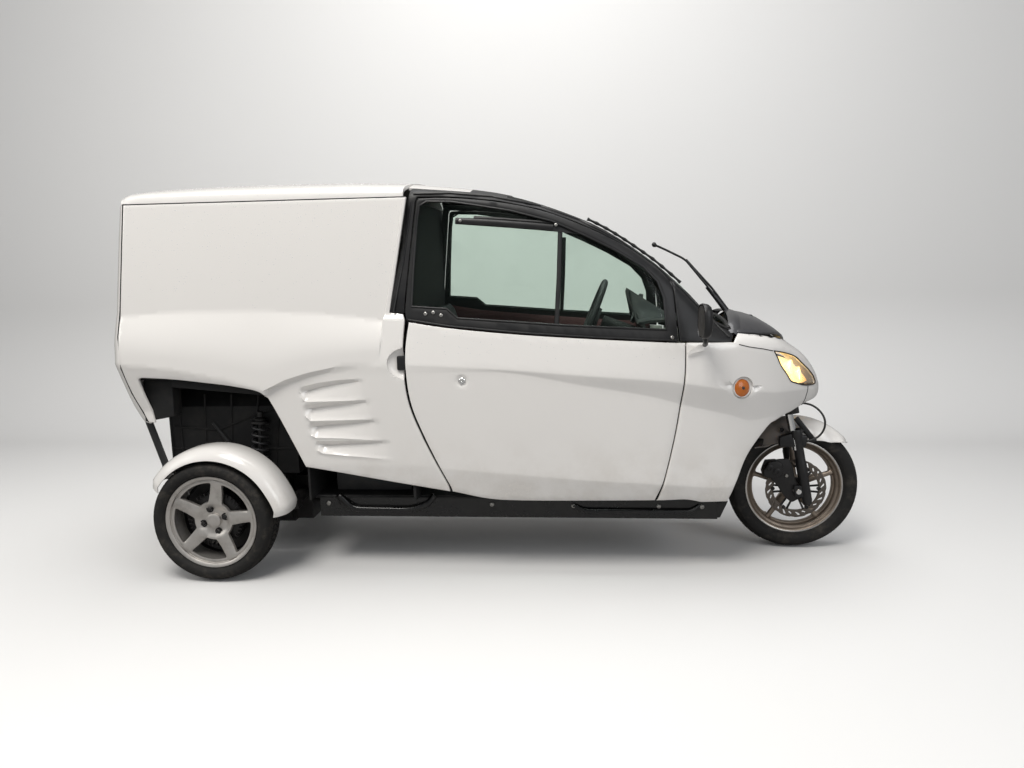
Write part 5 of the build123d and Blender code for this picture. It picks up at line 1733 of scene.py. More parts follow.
class CAR_OT_wheels(Builder, bpy.types.Operator):
    """Builds the tyres with their tread, the rims, the brake disc and its carrier"""
    bl_idname, bl_label = "car.wheels", "Wheels"

    def build(self):
        for side, s in SIDES.items():
            self.rear(side, s)
        self.front()

    def rear(self, side, s):
        """One rear wheel: tyre, rim, cap, nuts, drum and valve."""
        hub, body = HUB_REAR[side], f"rear_wheel_{side}"
        carcass = lathe(tyre(0.231, 0.0695, 0.178, 0.12), hub, steps=128)
        blocks = merged(*[tread_block(0.2345, 0.0695, a, w, y0, y1, t) for a, w, y0, y1, t in
                          ((0, 3.4, -0.060, -0.030, 5), (2.5, 3.4, -0.026, -0.002, -4), (0, 3.4, 0.002, 0.026, 4),
                           (2.5, 3.4, 0.030, 0.060, -5))])
        ringed(f"rear_tyre_skin_{side}", blocks, 72, hub, self.mat["tyre"], body, (f"rear_tyre_{side}",),
               40, extra=carcass)
        barrel = [(0.178, 0.0545), (0.1765, 0.056), (0.170, 0.0545), (0.164, 0.050), (0.1625, 0.044), (0.158, 0.041),
                  (0.156, 0.030), (0.150, 0.0), (0.148, -0.030), (0.160, -0.050), (0.177, -0.056), (0.178, -0.0545),
                  (0.166, -0.050), (0.152, -0.030), (0.155, 0.0), (0.160, 0.028), (0.168, 0.040), (0.174, 0.050)]
        rim = lathe(sided(barrel, s), hub, steps=128)

        def face(u, v):
            r = math.hypot(u, v)
            dish = 0.036 - 0.012 * smooth_step(0.075 - r, 0, 0.03) + 0.008 * smooth_step(r, 0.10, 0.160)
            return Vector((hub.x + u, hub.y + s * (dish + spoke_ridge(u, v, 8, 0.05, 0.020, 0.004)), hub.z + v))

        disc = panel(face, [polar(0.162, 360 * k / 120) for k in range(120)],
                     windows(5, 8, 0.074, 0.149, 0.0265, 0.0215, 0.010), 0.009, 0.013, 0.0035, out=-s)
        piece(f"rear_rim_skin_{side}", merged(rim, disc), self.mat["silver"], body, (f"rear_rim_{side}",),
              32)
        cap = lathe(sided(((0.0, 0.0395), (0.012, 0.0392), (0.022, 0.0375), (0.027, 0.0345), (0.0285, 0.030),
                           (0.0285, 0.020), (0.0, 0.020)), s),
                    hub, steps=48)
        piece(f"rear_cap_{side}", cap, self.mat["silver"], body)
        nut = lathe(sided(((0.0, 0.033), (0.0065, 0.033), (0.0088, 0.031), (0.0090, 0.020), (0.0, 0.020)), s),
                    (0.046, 0, 0), steps=6)
        well = lathe(sided(((0.0095, 0.0262), (0.0140, 0.0275), (0.0143, 0.020), (0.0092, 0.020)), s), (0.046, 0, 0),
                     steps=20)
        for bm in (nut, well):
            bm.transform(Matrix.Rotation(math.radians(-18), 4, "Y"))
        ringed(f"rear_nuts_{side}", merged(nut, well), 4, hub, self.mat["cast"], body)
        drum = lathe(sided(((0.0, 0.016), (0.050, 0.016), (0.056, 0.010), (0.092, 0.008), (0.102, 0.004),
                            (0.104, -0.020), (0.100, -0.030), (0.0, -0.032)), s), hub, steps=64)
        rib = block((0.095, -0.020, -0.0015), (0.1075, 0.004, 0.0015), 0.001)
        ringed(f"rear_drum_{side}", rib, 36, hub, self.mat["cast"], body, extra=drum)
        stem = tube([hub + Vector((r * math.cos(2.2), s * y, r * math.sin(2.2)))
                     for r, y in ((0.150, 0.034), (0.132, 0.052))], 0.004, 8)
        piece(f"rear_valve_{side}", stem, self.mat["seal"], body)

    def front(self):
        """Front wheel: tyre, rim and its bright lips."""
        hub, body = HUB_FRONT, "front_wheel"
        carcass = lathe(tyre(0.2535, 0.0555, 0.194, 0.42), hub, steps=144)
        blocks = merged(*[tread_block(0.2565, 0.0555, a, w, y0, y1, t) for a, w, y0, y1, t in
                          ((0, 6.0, -0.046, -0.026, 11), (3.6, 6.0, -0.022, -0.003, 8), (0.4, 6.0, 0.003, 0.022, -8),
                           (4.0, 6.0, 0.026, 0.046, -11))])
        ringed("front_tyre_skin", blocks, 46, hub, self.mat["tyre"], body, ("front_tyre",), 40,
               extra=carcass)
        half = [(0.1935, 0.0385), (0.1920, 0.0400), (0.1860, 0.0396), (0.1815, 0.0365), (0.1790, 0.0320),
                (0.1765, 0.0290), (0.1720, 0.0270), (0.1680, 0.0230), (0.1660, 0.0140)]
        outer = [(0.1695, 0.0140), (0.1730, 0.0240), (0.1800, 0.0270), (0.1830, 0.0330), (0.1890, 0.0370)]
        profile = half + [(r, -y) for r, y in reversed(half)] + [(r, -y) for r, y in outer] + list(reversed(outer))
        rim = lathe(profile, hub, steps=144)

        def face(u, v):
            r = math.hypot(u, v)
            ridge = spoke_ridge(u, v, 19, 0.03, 0.011, 0.006)
            return Vector((hub.x + u, hub.y - 0.012 - ridge - 0.010 * smooth_step(0.06 - r, 0, 0.02), hub.z + v))

        spokes = panel(face, [polar(0.168, 360 * k / 120) for k in range(120)],
                       windows(5, 19, 0.050, 0.160, 0.0135, 0.0105, 0.010), 0.007, 0.024, 0.0035)
        barrel = lathe([(0.0, -0.040), (0.022, -0.040), (0.030, -0.034), (0.033, -0.024), (0.036, 0.0),
                        (0.033, 0.030), (0.022, 0.044), (0.0, 0.044)], hub, steps=48)
        piece("front_rim_skin", merged(rim, spokes, barrel), self.mat["bronze"], body, ("front_rim",),
              32)
        for s in (-1, 1):
            bright = lathe(sided(((0.1925, 0.0398), (0.1905, 0.0408), (0.1875, 0.0405), (0.1850, 0.0388),
                                  (0.187, 0.036)), s), hub, steps=144)
            piece(f"front_lip_{'left' if s > 0 else 'right'}", bright, self.mat["lip"], body)
        self.disc(hub, body)

    def disc(self, hub, body):
        """Slotted brake disc and its carrier."""
        outline = [polar(0.1195 * (1 if k % 12 < 9 else 0.985), 360 * k / 144) for k in range(144)]
        inner = [polar(0.088, -360 * k / 72) for k in range(72)]
        slots = []
        for k in range(12):
            a = 30 * k
            slots.append(soften([polar(0.097, a), polar(0.099, a + 5), polar(0.1115, a + 12), polar(0.1125, a + 7)],
                                0.0025, 3))
            slots.append(soften([polar(0.096, a + 17), polar(0.100, a + 15), polar(0.108, a + 22),
                                 polar(0.104, a + 24)], 0.0025, 3))

        def face(u, v):
            return Vector((hub.x + u, hub.y - 0.066, hub.z + v))

        rotor = panel(face, outline, [inner, *slots], 0.012, 0.004, 0.0006)
        piece("brake_disc_skin", rotor, self.mat["disc"], body, ("brake_disc",), 30)
        arm = merged(*[plate([polar(0.040, s * 14 - 5), polar(0.0915, s * 9 - 2.6), polar(0.0915, s * 9 + 2.6),
                              polar(0.040, s * 14 + 5)],
                             -0.0665, -0.0605, "XZ", 0.0010) for s in (-1, 1)])
        button = lathe([(0.0, -0.0685), (0.006, -0.0685), (0.0075, -0.067), (0.0075, -0.060), (0.0, -0.060)],
                       (0.0895, 0, 0), steps=16)
        nave = lathe([(0.024, -0.0675), (0.044, -0.0675), (0.046, -0.0655), (0.046, -0.058), (0.034, -0.040),
                      (0.024, -0.040)], hub, steps=60)
        ringed("disc_carrier", merged(arm, button), 6, hub, self.mat["cast"], body, extra=nave)


# Front fork

class CAR_OT_fork(Builder, bpy.types.Operator):
    """Builds the front fork: crown, stanchions, clamps, legs, caliper and mudguard"""
    bl_idname, bl_label = "car.fork", "Fork"

    def build(self):
        chrome, black = [], []
        for s in (-1, 1):
            y = 0.098 * s
            top, foot = on_steer(0.330, 0.012, y), on_steer(0.17, 0.018, y)
            chrome.append(tube([top, foot], 0.0148, 28))
            leg = [(0.0, 0.232), (0.0168, 0.232), (0.0205, 0.228), (0.0205, 0.214), (0.0192, 0.210), (0.0192, 0.120),
                   (0.0208, 0.115), (0.0208, 0.060), (0.0195, 0.050), (0.0190, -0.045), (0.0165, -0.058),
                   (0.0, -0.060)]
            turn = Matrix.Translation(on_steer(0, 0.027, y)) @ Matrix.Rotation(-LEAN, 4, "Y")
            ring = [(0.0150, 0.222), (0.0235, 0.222), (0.0240, 0.225), (0.0240, 0.247), (0.0228, 0.250),
                    (0.0150, 0.250)]
            black += [turned(leg, 32, turn), turned(ring, 32, turn)]
            lug = plate(soften([(-0.030, -0.018), (0.012, -0.026), (0.018, 0.020), (-0.026, 0.030)], 0.010),
                        y - 0.012, y + 0.012, "XZ", 0.002)
            lug.transform(Matrix.Translation((HUB_FRONT.x + 0.012, 0, HUB_FRONT.z)) @ Matrix.Rotation(-LEAN, 4, "Y"))
            black.append(lug)
            black.append(plate(soften([(1.108, 0.440), (1.106, 0.478), (1.150, 0.492), (1.190, 0.488), (1.216, 0.480),
                                       (1.208, 0.438)], 0.008),
                               y - 0.014, y + 0.012, "XZ", 0.003))
        piece("fork_legs", merged(*black), self.mat["satin"], "fork", ("fork",))
        crown = panel(lambda u, v: on_steer(0.347, u, v),
                      soften([(-0.032, -0.070), (0.012, -0.121), (0.050, -0.121), (0.052, -0.080), (0.040, 0.0),
                      (0.052, 0.080), (0.050, 0.121), (0.012, 0.121), (-0.032, 0.070)], 0.014), (), 0.02, 0.030,
                      0.003)
        stem = tube([on_steer(0.33, 0, 0), on_steer(0.48, 0, 0)], 0.0148, 24)
        spindle = lathe([(0.0, -0.114), (0.010, -0.114), (0.0115, -0.112), (0.0115, -0.060), (0.0088, -0.058),
                         (0.0088, 0.058), (0.0115, 0.060), (0.0115, 0.112), (0.010, 0.114), (0.0, 0.114)],
                        HUB_FRONT, steps=24)
        piece("fork_crown", merged(crown, stem), self.mat["cast"], "fork")
        piece("fork_tubes", merged(*chrome, spindle), self.mat["chrome"], "fork")
        self.caliper()
        self.mudguard()

    def caliper(self):
        """Brake caliper with its arm and bolts."""
        outline = soften([(1.050, 0.333), (1.058, 0.312), (1.092, 0.306), (1.128, 0.318), (1.128, 0.362),
                          (1.108, 0.377), (1.072, 0.374)], 0.008)
        outer = plate(outline, -0.098, -0.072, "XZ", 0.004)
        inner = plate(outline, -0.060, -0.048, "XZ", 0.003)
        bridge = plate(soften([(1.052, 0.345), (1.064, 0.376), (1.104, 0.377), (1.098, 0.362), (1.070, 0.358)],
                              0.004), -0.074, -0.058, "XZ", 0.001)
        arm = plate(soften([(1.062, 0.330), (1.074, 0.372), (1.110, 0.384), (1.150, 0.386), (1.168, 0.350),
                            (1.178, 0.300), (1.206, 0.262), (1.202, 0.226), (1.166, 0.206), (1.136, 0.234),
                            (1.112, 0.272), (1.086, 0.302)], 0.010), -0.092, -0.080, "XZ", 0.002)
        caps = [bolt(Vector((x, -0.098, z)), (0, -1, 0), 0.014, 0.005) for x, z in ((1.076, 0.350), (1.104, 0.335))]
        piece("caliper_body", merged(outer, inner, bridge, arm, *caps), self.mat["cast"], "fork", ("brake_caliper",))
        bolts = [bolt(Vector((x, -0.0925, z)), (0, -1, 0), 0.0075, 0.006)
                 for x, z in ((1.143, 0.318), (1.176, 0.258))]
        piece("caliper_bolts", merged(*bolts), self.mat["steel"], "fork")

    def mudguard(self):
        """Front mudguard, white, with its rear part in grey as painted shade under the cowl, and its struts."""
        rows = []
        hub = HUB_FRONT
        for k in range(45):
            a = math.radians(43.5 + (137 - 43.5) * k / 44)
            deg = math.degrees(a)
            top = crossing(((41, 0.264), (46, 0.270), (60, 0.273), (71, 0.276), (83, 0.281), (95, 0.285),
                            (115, 0.281), (137, 0.249)), deg)
            skirt = crossing(((41, 0.258), (45, 0.262), (48, 0.255), (60, 0.219), (75, 0.202), (90, 0.196),
                              (104, 0.199), (118, 0.207), (129, 0.220), (137, 0.240)), deg)
            tip = 0.034 * smooth_step(50 - deg, 0, 7) + 0.012 * smooth_step(deg, 125, 137)
            half = [(0, 0), (0.016, 0.001), (0.030, 0.005), (0.042, 0.013), (0.052, 0.024), (0.061, 0.037),
                    (0.068, 0.052)]
            ring = [(y * (1 - tip / 0.075), max(top - drop, skirt))
                    for y, drop in half] + [(0.0705 - tip, max(skirt, 0.190))]
            full = [(-y, r) for y, r in reversed(ring)] + ring[1:]
            rows.append([Vector((hub.x + 0.012 + r * math.cos(a), y, hub.z + 0.003 + r * math.sin(a)))
                         for y, r in full])
        # The guard is white all over; its rear rows get the grey finish as painted shade under the cowl.
        split = 26
        piece("front_guard_skin", strip(rows[:split], -0.0035), self.mat["paint"], "fork", ("front_mudguard",))
        piece("front_guard_rear", strip(rows[split - 1:], -0.0035), self.mat["guard_in_shade"], "fork")
        struts = []
        for s in (-1, 1):
            y = 0.0735 * s
            struts.append(tube([(1.176, y, 0.548), (1.252, y, 0.452)], 0.011, 8, 0.25, Vector((1, 0, 0.8))))
            struts.append(tube([on_steer(0.21, 0.027, 0.088 * s), on_steer(0.235, 0.062, y)], 0.006, 8))
            struts.append(bolt(Vector((1.124, 0.0715 * s, 0.500)), (0, s, 0), 0.008, 0.004))
        piece("front_guard_struts", merged(*struts), self.mat["satin"], "fork")


# Rear unit

GUARD_TOP = 0.5225                     # height that the tilting body leaves free over the mudguards, m


class CAR_OT_rear(Builder, bpy.types.Operator):
    """Builds the rear unit: liner, arms, spring legs, mudguards, axle carrier and hanging rods"""
    bl_idname, bl_label = "car.rear", "Rear unit"

    def build(self):
        for side, s in SIDES.items():
            self.guard(side, s)
            self.damper(side, s)
        self.dress(liner=("rear_liner",), cast=("rear_carrier", "rear_arm_left", "rear_arm_right"))
        folds = []
        for s in (-1, 1):
            y = 0.263 * s
            folds += [tube(bend([(x0, y, 0.385), (x1, y, 0.690)], 0.01), 0.004, 6) for x0, x1 in
                      ((-1.255, -1.262), (-1.165, -1.150), (-1.060, -1.040), (-0.968, -0.930), (-0.880, -0.842))]
            folds.append(tube([(-1.295, y, 0.470), (-0.800, y, 0.470)], 0.0035, 6))
            folds.append(tube(bend([(-1.283, y, 0.560), (-1.10, y, 0.545), (-0.94, y, 0.610), (-0.82, y, 0.640)],
                                   0.03), 0.0045, 6))
        piece("liner_folds", merged(*folds), self.mat["liner"], "rear_unit")
        edge = [tube([(-1.3005, 0.262 * s, 0.400), (-1.3005, 0.262 * s, 0.690)], 0.005, 8) for s in (-1, 1)]
        piece("liner_edges", merged(*edge), self.mat["liner"], "rear_unit")
        shield = ((0.030, -0.044), (0.120, -0.044), (0.143, -0.040), (0.146, -0.026), (0.148, -0.026),
                  (0.146, -0.046), (0.120, -0.050), (0.030, -0.050))
        shields = [lathe(sided(shield, s), HUB_REAR[side], steps=64) for side, s in SIDES.items()]
        piece("rear_shields", merged(*shields), self.mat["cast"], "rear_unit")
        rods = [tube([(-1.372, 0.300 * s, 0.600), (-1.306, 0.318 * s, 0.420), (-1.296, 0.330 * s, 0.392)], 0.016, 12,
                     0.30, Vector((1, 0, 0.35))) for s in (-1, 1)]
        feet = [tube([(-1.306, 0.318 * s, 0.414), (-1.262, 0.352 * s, 0.398), (-1.215, 0.372 * s, 0.404)], 0.008, 10)
                for s in (-1, 1)]
        piece("rear_rods", merged(*rods, *feet), self.mat["frame"], "rear_unit")
        braces = [tube([(-1.125, 0.258 * s, 0.575), (-1.045, 0.268 * s, 0.470)], 0.009, 10) for s in (-1, 1)]
        piece("rear_braces", merged(*braces), self.mat["frame"], "rear_unit")

    def guard(self, side, s):
        """One rear mudguard with its bolts and stays."""
        hub = HUB_REAR[side]
        rows = []
        profile = [(-0.070, 0.262), (-0.071, 0.274), (-0.064, 0.2825), (-0.040, 0.2865), (-0.010, 0.2875),
                   (0.020, 0.2865), (0.040, 0.2815), (0.054, 0.2725), (0.064, 0.2605), (0.0705, 0.2475),
                   (0.0715, 0.2420)]
        for k in range(57):
            a = math.radians(6 + 144 * k / 56)
            tip = smooth_step(abs(k - 28), 26, 28)
            flare = 0.008 * smooth_step(10 - k, 0, 10)
            ring = [(y, r + flare - 0.010 * tip) for y, r in profile]
            ahead, rise, narrow = math.cos(a), math.sin(a), 1 - 0.06 * tip
            rows.append([Vector((hub.x + 0.010 + r * ahead, hub.y + s * y * narrow, hub.z + r * rise))
                         for y, r in ring])
        shell = strip(rows, -0.004 * s)
        for v in shell.verts:
            v.co.z = min(v.co.z, GUARD_TOP)
        piece(f"rear_guard_skin_{side}", shell, self.mat["paint"], "rear_unit", (f"rear_mudguard_{side}",))
        spots = []
        for angle in (22, 30):
            a = math.radians(angle)
            at = Vector((hub.x + 0.278 * math.cos(a), hub.y + 0.050 * s, hub.z + 0.278 * math.sin(a)))
            spots.append(bolt(at, (math.cos(a), 0.5 * s, math.sin(a)), 0.005, 0.003))
        stays = []
        for a in (math.radians(60), math.radians(130)):
            stay = [hub + Vector((r * math.cos(a), y * s, r * math.sin(a)))
                    for r, y in ((0.262, -0.060), (0.16, -0.105))]
            stays.append(tube(bend([*stay, hub + Vector((0.0, -0.110 * s, 0.03))], 0.02), 0.007, 8))
        piece(f"rear_guard_spots_{side}", merged(*spots, *stays), self.mat["satin"], "rear_unit")

    def damper(self, side, s):
        """One damper with its coil spring."""
        low, high = Vector((-0.937, 0.300 * s, 0.318)), Vector((-0.915, 0.290 * s, 0.630))
        place = standing(low, (high - low).normalized())
        body = turned([(0.0, -0.012), (0.016, -0.010), (0.018, 0.010), (0.021, 0.014), (0.021, 0.150), (0.018, 0.156),
                       (0.008, 0.160), (0.007, 0.262), (0.020, 0.266), (0.024, 0.272), (0.024, 0.280), (0.012, 0.288),
                       (0.012, 0.306), (0.0, 0.310)], 28)
        seat = turned([(0.021, 0.040), (0.0335, 0.040), (0.034, 0.046), (0.021, 0.050)], 28)
        cap = turned([(0.008, 0.262), (0.0335, 0.262), (0.034, 0.270), (0.008, 0.274)], 28)
        shaft = merged(body, seat, cap)
        shaft.transform(place)
        piece(f"damper_body_{side}", shaft, self.mat["cast"], "rear_unit", (f"rear_damper_{side}",))
        coil = grown_by(GROUPS["coil"], bmesh.new(), {"Turns": 8.0, "Radius": 0.0285, "Height": 0.214, "Wire": 0.0042,
                                                      "Material": self.mat["spring"]})
        coil.transform(place @ Matrix.Translation((0, 0, 0.048)))
        coil.name = f"damper_spring_{side}"
        settle(coil.name, coil, self.mat["spring"], "rear_unit", sharp=60)


# Underbody

class CAR_OT_under(Builder, bpy.types.Operator):
    """Dresses the sills and chassis, and adds sill bolts, the hoop and step tubes"""
    bl_idname, bl_label = "car.under", "Underbody"

    def build(self):
        self.dress(gloss=("chassis_frame",), liner=("cabin_floor", "cargo_floor", "bulkhead"),
                   dash=("battery_block", "seat_plinth"), frame=("steering_head",), seal=("door_seals",))
        boxes = []
        for s in (-1, 1):
            boxes.append(plate([(-1.345, 0.600), (-1.262, 0.614), (-1.226, 0.622), (-1.222, 0.762), (-1.338, 0.762)],
                               0.300 * s, 0.366 * s, "XZ", 0.004))
            boxes.append(plate([(-1.222, 0.735), (-0.84, 0.700), (-0.86, 0.762), (-1.222, 0.762)], 0.300 * s,
                               0.372 * s, "XZ", 0.002))
        piece("arch_boxes", merged(*boxes), self.mat["liner"], "cabin")
        heads = [bolt(Vector((x, y, z)), (0, math.copysign(1, y), 0), 0.009, 0.006)
                 for x, z in ((-0.656, 0.262), (-0.567, 0.258), (-0.269, 0.262), (-0.013, 0.262), (0.30, 0.258),
                              (0.62, 0.258), (0.78, 0.258))
                 for y in (-0.310, 0.310)]
        piece("sill_bolts", merged(*heads), self.mat["steel"], "cabin")
        hoops = []
        for s in (-1, 1):
            y = 0.318 * s
            hoop = [(-0.600, y * 0.97, 0.262), (-0.612, y, 0.300), (-0.560, y, 0.243), (-0.330, y, 0.240),
                    (-0.262, y, 0.262), (-0.236, y * 0.97, 0.296)]
            hoops.append(tube(bend(hoop, 0.04, 7), self.size.bar, 14))
            hoops.append(tube(bend([(0.30, y * 0.96, 0.262), (0.34, y, 0.240), (0.74, y, 0.240),
                                    (0.770, y * 0.96, 0.262)], 0.03, 6), self.size.bar * 0.8, 12))
        piece("sill_hoops", merged(*hoops), self.mat["gloss"], "cabin", ("sill_tubes",))
        noses = [plate([(0.834, 0.284), (0.876, 0.280), (0.848, 0.216), (0.834, 0.214)], 0.262 * s, 0.3115 * s, "XZ",
                       0.003) for s in (-1, 1)]
        piece("sill_noses", merged(*noses), self.mat["gloss"], "cabin")
        rims = [tube([(-0.700, 0.3105 * s, 0.292), (0.86, 0.3105 * s, 0.292)], 0.006, 8, 0.5) for s in (-1, 1)]
        piece("sill_lips", merged(*rims), self.mat["satin"], "cabin")


# Cabin interior

def cushion(corners, thick, crown):
    """Closed crowned pad over a four-cornered patch: corners run round it, thick is its depth."""
    a, b, c, d = corners
    normal = (b - a).cross(d - a).normalized()
    bm = bmesh.new()
    n, m = 18, 22
    grids = []
    for sign, share in ((1, 1), (-1, 0.2)):
        grid = []
        for i in range(n + 1):
            row = []
            for j in range(m + 1):
                u, v = i / n, j / m
                p = a.lerp(b, u).lerp(d.lerp(c, u), v)
                swell = (math.sin(math.pi * u) * math.sin(math.pi * v)) ** 0.42
                rise = thick / 2 * (0.35 + 0.65 * swell) + crown * swell * share
                row.append(bm.verts.new(p + normal * sign * rise))
            grid.append(row)
        for i in range(n):
            for j in range(m):
                quad = (grid[i][j], grid[i + 1][j], grid[i + 1][j + 1], grid[i][j + 1])
                bm.faces.new(quad if sign > 0 else tuple(reversed(quad)))
        grids.append(grid)
    top, low = grids
    ring = [(i, 0) for i in range(n)] + [(n, j) for j in range(m)]
    ring += [(i, m) for i in range(n, 0, -1)] + [(0, j) for j in range(m, 0, -1)]
    for (i, j), (k, l) in zip(ring, ring[1:] + ring[:1]):
        bm.faces.new((top[i][j], low[i][j], low[k][l], top[k][l]))
    bmesh.ops.recalc_face_normals(bm, faces=bm.faces)
    return bm


def nearest(made, at):
    """Point of an object's surface nearest to a point."""
    return made.closest_point_on_mesh(at)[1]


class CAR_OT_interior(Builder, bpy.types.Operator):
    """Builds the dashboard, steering wheel, column and seat"""
    bl_idname, bl_label = "car.interior", "Interior"

    def build(self):
        self.dash()
        self.wheel()
        self.seat()

    def dash(self):
        """Dashboard with its hood and dial."""
        rows = []
        for k in range(25):
            y = -0.288 + 0.576 * k / 24
            hood = smooth_step(0.17 - abs(y), 0, 0.05)
            line = [(0.862, 0.905), (0.800, 0.935), (0.700, 0.955), (0.652, 0.962 + 0.020 * hood),
                    (0.585, 0.958 + 0.066 * hood), (0.545 - 0.023 * hood, 0.952 + 0.113 * hood),
                    (0.542 - 0.025 * hood, 0.944 + 0.106 * hood), (0.556, 0.940), (0.575, 0.90), (0.600, 0.80),
                    (0.640, 0.70), (0.680, 0.63)]
            rows.append([Vector((x, y, min(z, float(section(x)[2][0]) - 0.045))) for x, z in line])
        piece("dash_skin", strip(rows, 0.010), self.mat["dash"], "cabin", ("dashboard",), 50)
        dial = turned([(0.0, 0.004), (0.052, 0.004), (0.056, 0.010), (0.060, 0.010), (0.061, -0.004), (0.0, -0.004)],
                      40, Matrix.Translation((0.560, 0, 0.985)) @ Matrix.Rotation(math.radians(-72), 4, "Y"))
        piece("dash_dial", dial, self.mat["satin"], "cabin")

    def wheel(self):
        """Steering wheel and column."""
        turn = standing((0.374, 0, 0.953), -Vector((0.927, 0, -0.374)).normalized())
        rim = turned([(0.1495 + 0.0125 * math.cos(a), 0.0125 * math.sin(a)) for a in turns(12)], 72)
        spokes = [plate(soften([polar(0.040, a - 22), polar(0.142, a - 6), polar(0.142, a + 6), polar(0.040, a + 22)],
                               0.006), -0.012, -0.004, "XY", 0.002) for a in (0, 120, 240)]
        hub = turned([(0.0, 0.010), (0.030, 0.009), (0.044, 0.002), (0.050, -0.012), (0.046, -0.030), (0.0, -0.030)],
                     40)
        whole = merged(rim, *spokes, hub)
        whole.transform(turn)
        piece("steering_wheel_skin", whole, self.mat["dash"], "steering_wheel", ("steering_wheel",))
        column = turned([(0.0, -0.310), (0.028, -0.310), (0.030, -0.180), (0.026, -0.048), (0.0, -0.048)], 32, turn)
        piece("steering_column_skin", column, self.mat["dash"], "cabin", ("steering_column",))

    def seat(self):
        """Both seat pads with their piping and channels."""
        for node, corners, crown in (("seat_base",
                                      [(-0.190, -0.198, 0.448), (0.255, -0.190, 0.470), (0.255, 0.190, 0.470),
                                       (-0.190, 0.198, 0.448)], 0.012),
                                     ("seat_back",
                                      [(-0.130, -0.178, 0.500), (-0.235, -0.165, 1.012), (-0.235, 0.165, 1.012),
                                       (-0.130, 0.178, 0.500)], 0.010)):
            a, b, c, d = corners = [Vector(p) for p in corners]
            low, high = (Vector(p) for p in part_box(node))
            mesh = self.swell(f"{node}_pad", cushion(corners, 0.070, crown), low, high)
            made = settle(f"{node}_pad", mesh, self.mat["cloth"], "cabin", (node,), 70)
            bpy.context.evaluated_depsgraph_get()      # evaluates the pad before its surface is asked for
            middle = (a + b + c + d) / 4
            normal = (b - a).cross(d - a).normalized()
            ring = [nearest(made, middle + (p - middle) * 1.25) for p in walk([a, b, c, d, a], 0.03, False)]
            cords = [tube(bend(ring, 0.01, 2), 0.0035, 8)]
            for w in (-0.32, 0.32):
                channel = [nearest(made, a.lerp(b, t).lerp(d.lerp(c, t), 0.5 + w) + normal * 0.2)
                           for t in (0.08 + 0.84 * k / 12 for k in range(13))]
                cords.append(tube(channel, 0.0022, 6))
            piece(f"{node}_pad_piping", merged(*cords), self.mat["seal"], "cabin")

    def swell(self, name, bm, low, high):
        mesh = bpy.data.meshes.new(name)
        bm.to_mesh(mesh)
        bm.free()
        holder = put("pad", mesh)
        remesh = holder.modifiers.new("even", "REMESH")
        remesh.mode, remesh.voxel_size = "VOXEL", 0.0075
        even = baked(holder)
        holder.modifiers.clear()
        holder.data = even
        start = [v.co.copy() for v in even.vertices]
        cloth = holder.modifiers.new("cloth", "CLOTH")
        cloth.settings.use_pressure, cloth.settings.uniform_pressure_force = True, 4
        cloth.settings.effector_weights.gravity = 0
        cloth.settings.quality = 4
        cloth.point_cache.frame_start, cloth.point_cache.frame_end = 1, 16
        for step in range(1, 17):
            bpy.context.scene.frame_set(step)
        puffed = baked(holder)
        holder.modifiers.clear()
        bpy.data.objects.remove(holder)
        bpy.context.scene.frame_set(1)
        for v, at in zip(puffed.vertices, start):
            move = v.co - at
            v.co = at + move * min(1, 0.007 / max(move.length, 1e-9))
        mesh = puffed
        grown = bmesh.new()
        grown.from_mesh(mesh)
        for _ in range(2):
            bmesh.ops.smooth_vert(grown, verts=grown.verts, factor=0.4, use_axis_x=True, use_axis_y=True,
                                  use_axis_z=True)
        for v in grown.verts:
            v.co = Vector([min(max(c, a + 0.001), b - 0.001) for c, a, b in zip(v.co, low, high)])
        grown.to_mesh(mesh)
        grown.free()
        return mesh


# Mirrors and wiper

MIRROR_AT = (0.752, 0.486, 0.968)
MIRROR_HALF = (0.052, 0.060)           # half width and half height, m
SQUARENESS = 3.2                       # power of the mirror's outline, 2 for an ellipse


def mirror_part(profile, depth):
    """Lathed part of the left mirror with a rounded square outline. Its radii are shares of the outline."""
    bm = lathe(profile, ORIGIN, "X", 40)
    for v in bm.verts:
        radius, angle = math.hypot(v.co.y, v.co.z), math.atan2(v.co.z, v.co.y)
        square = (abs(math.cos(angle)) ** SQUARENESS + abs(math.sin(angle)) ** SQUARENESS) ** (-1 / SQUARENESS)
        v.co = Vector((v.co.x * depth, radius * square * math.cos(angle) * MIRROR_HALF[0],
                       radius * square * math.sin(angle) * MIRROR_HALF[1]))
    bm.transform(Matrix.Translation(MIRROR_AT) @ Matrix.Rotation(math.radians(-6), 4, "Z"))
    return bm


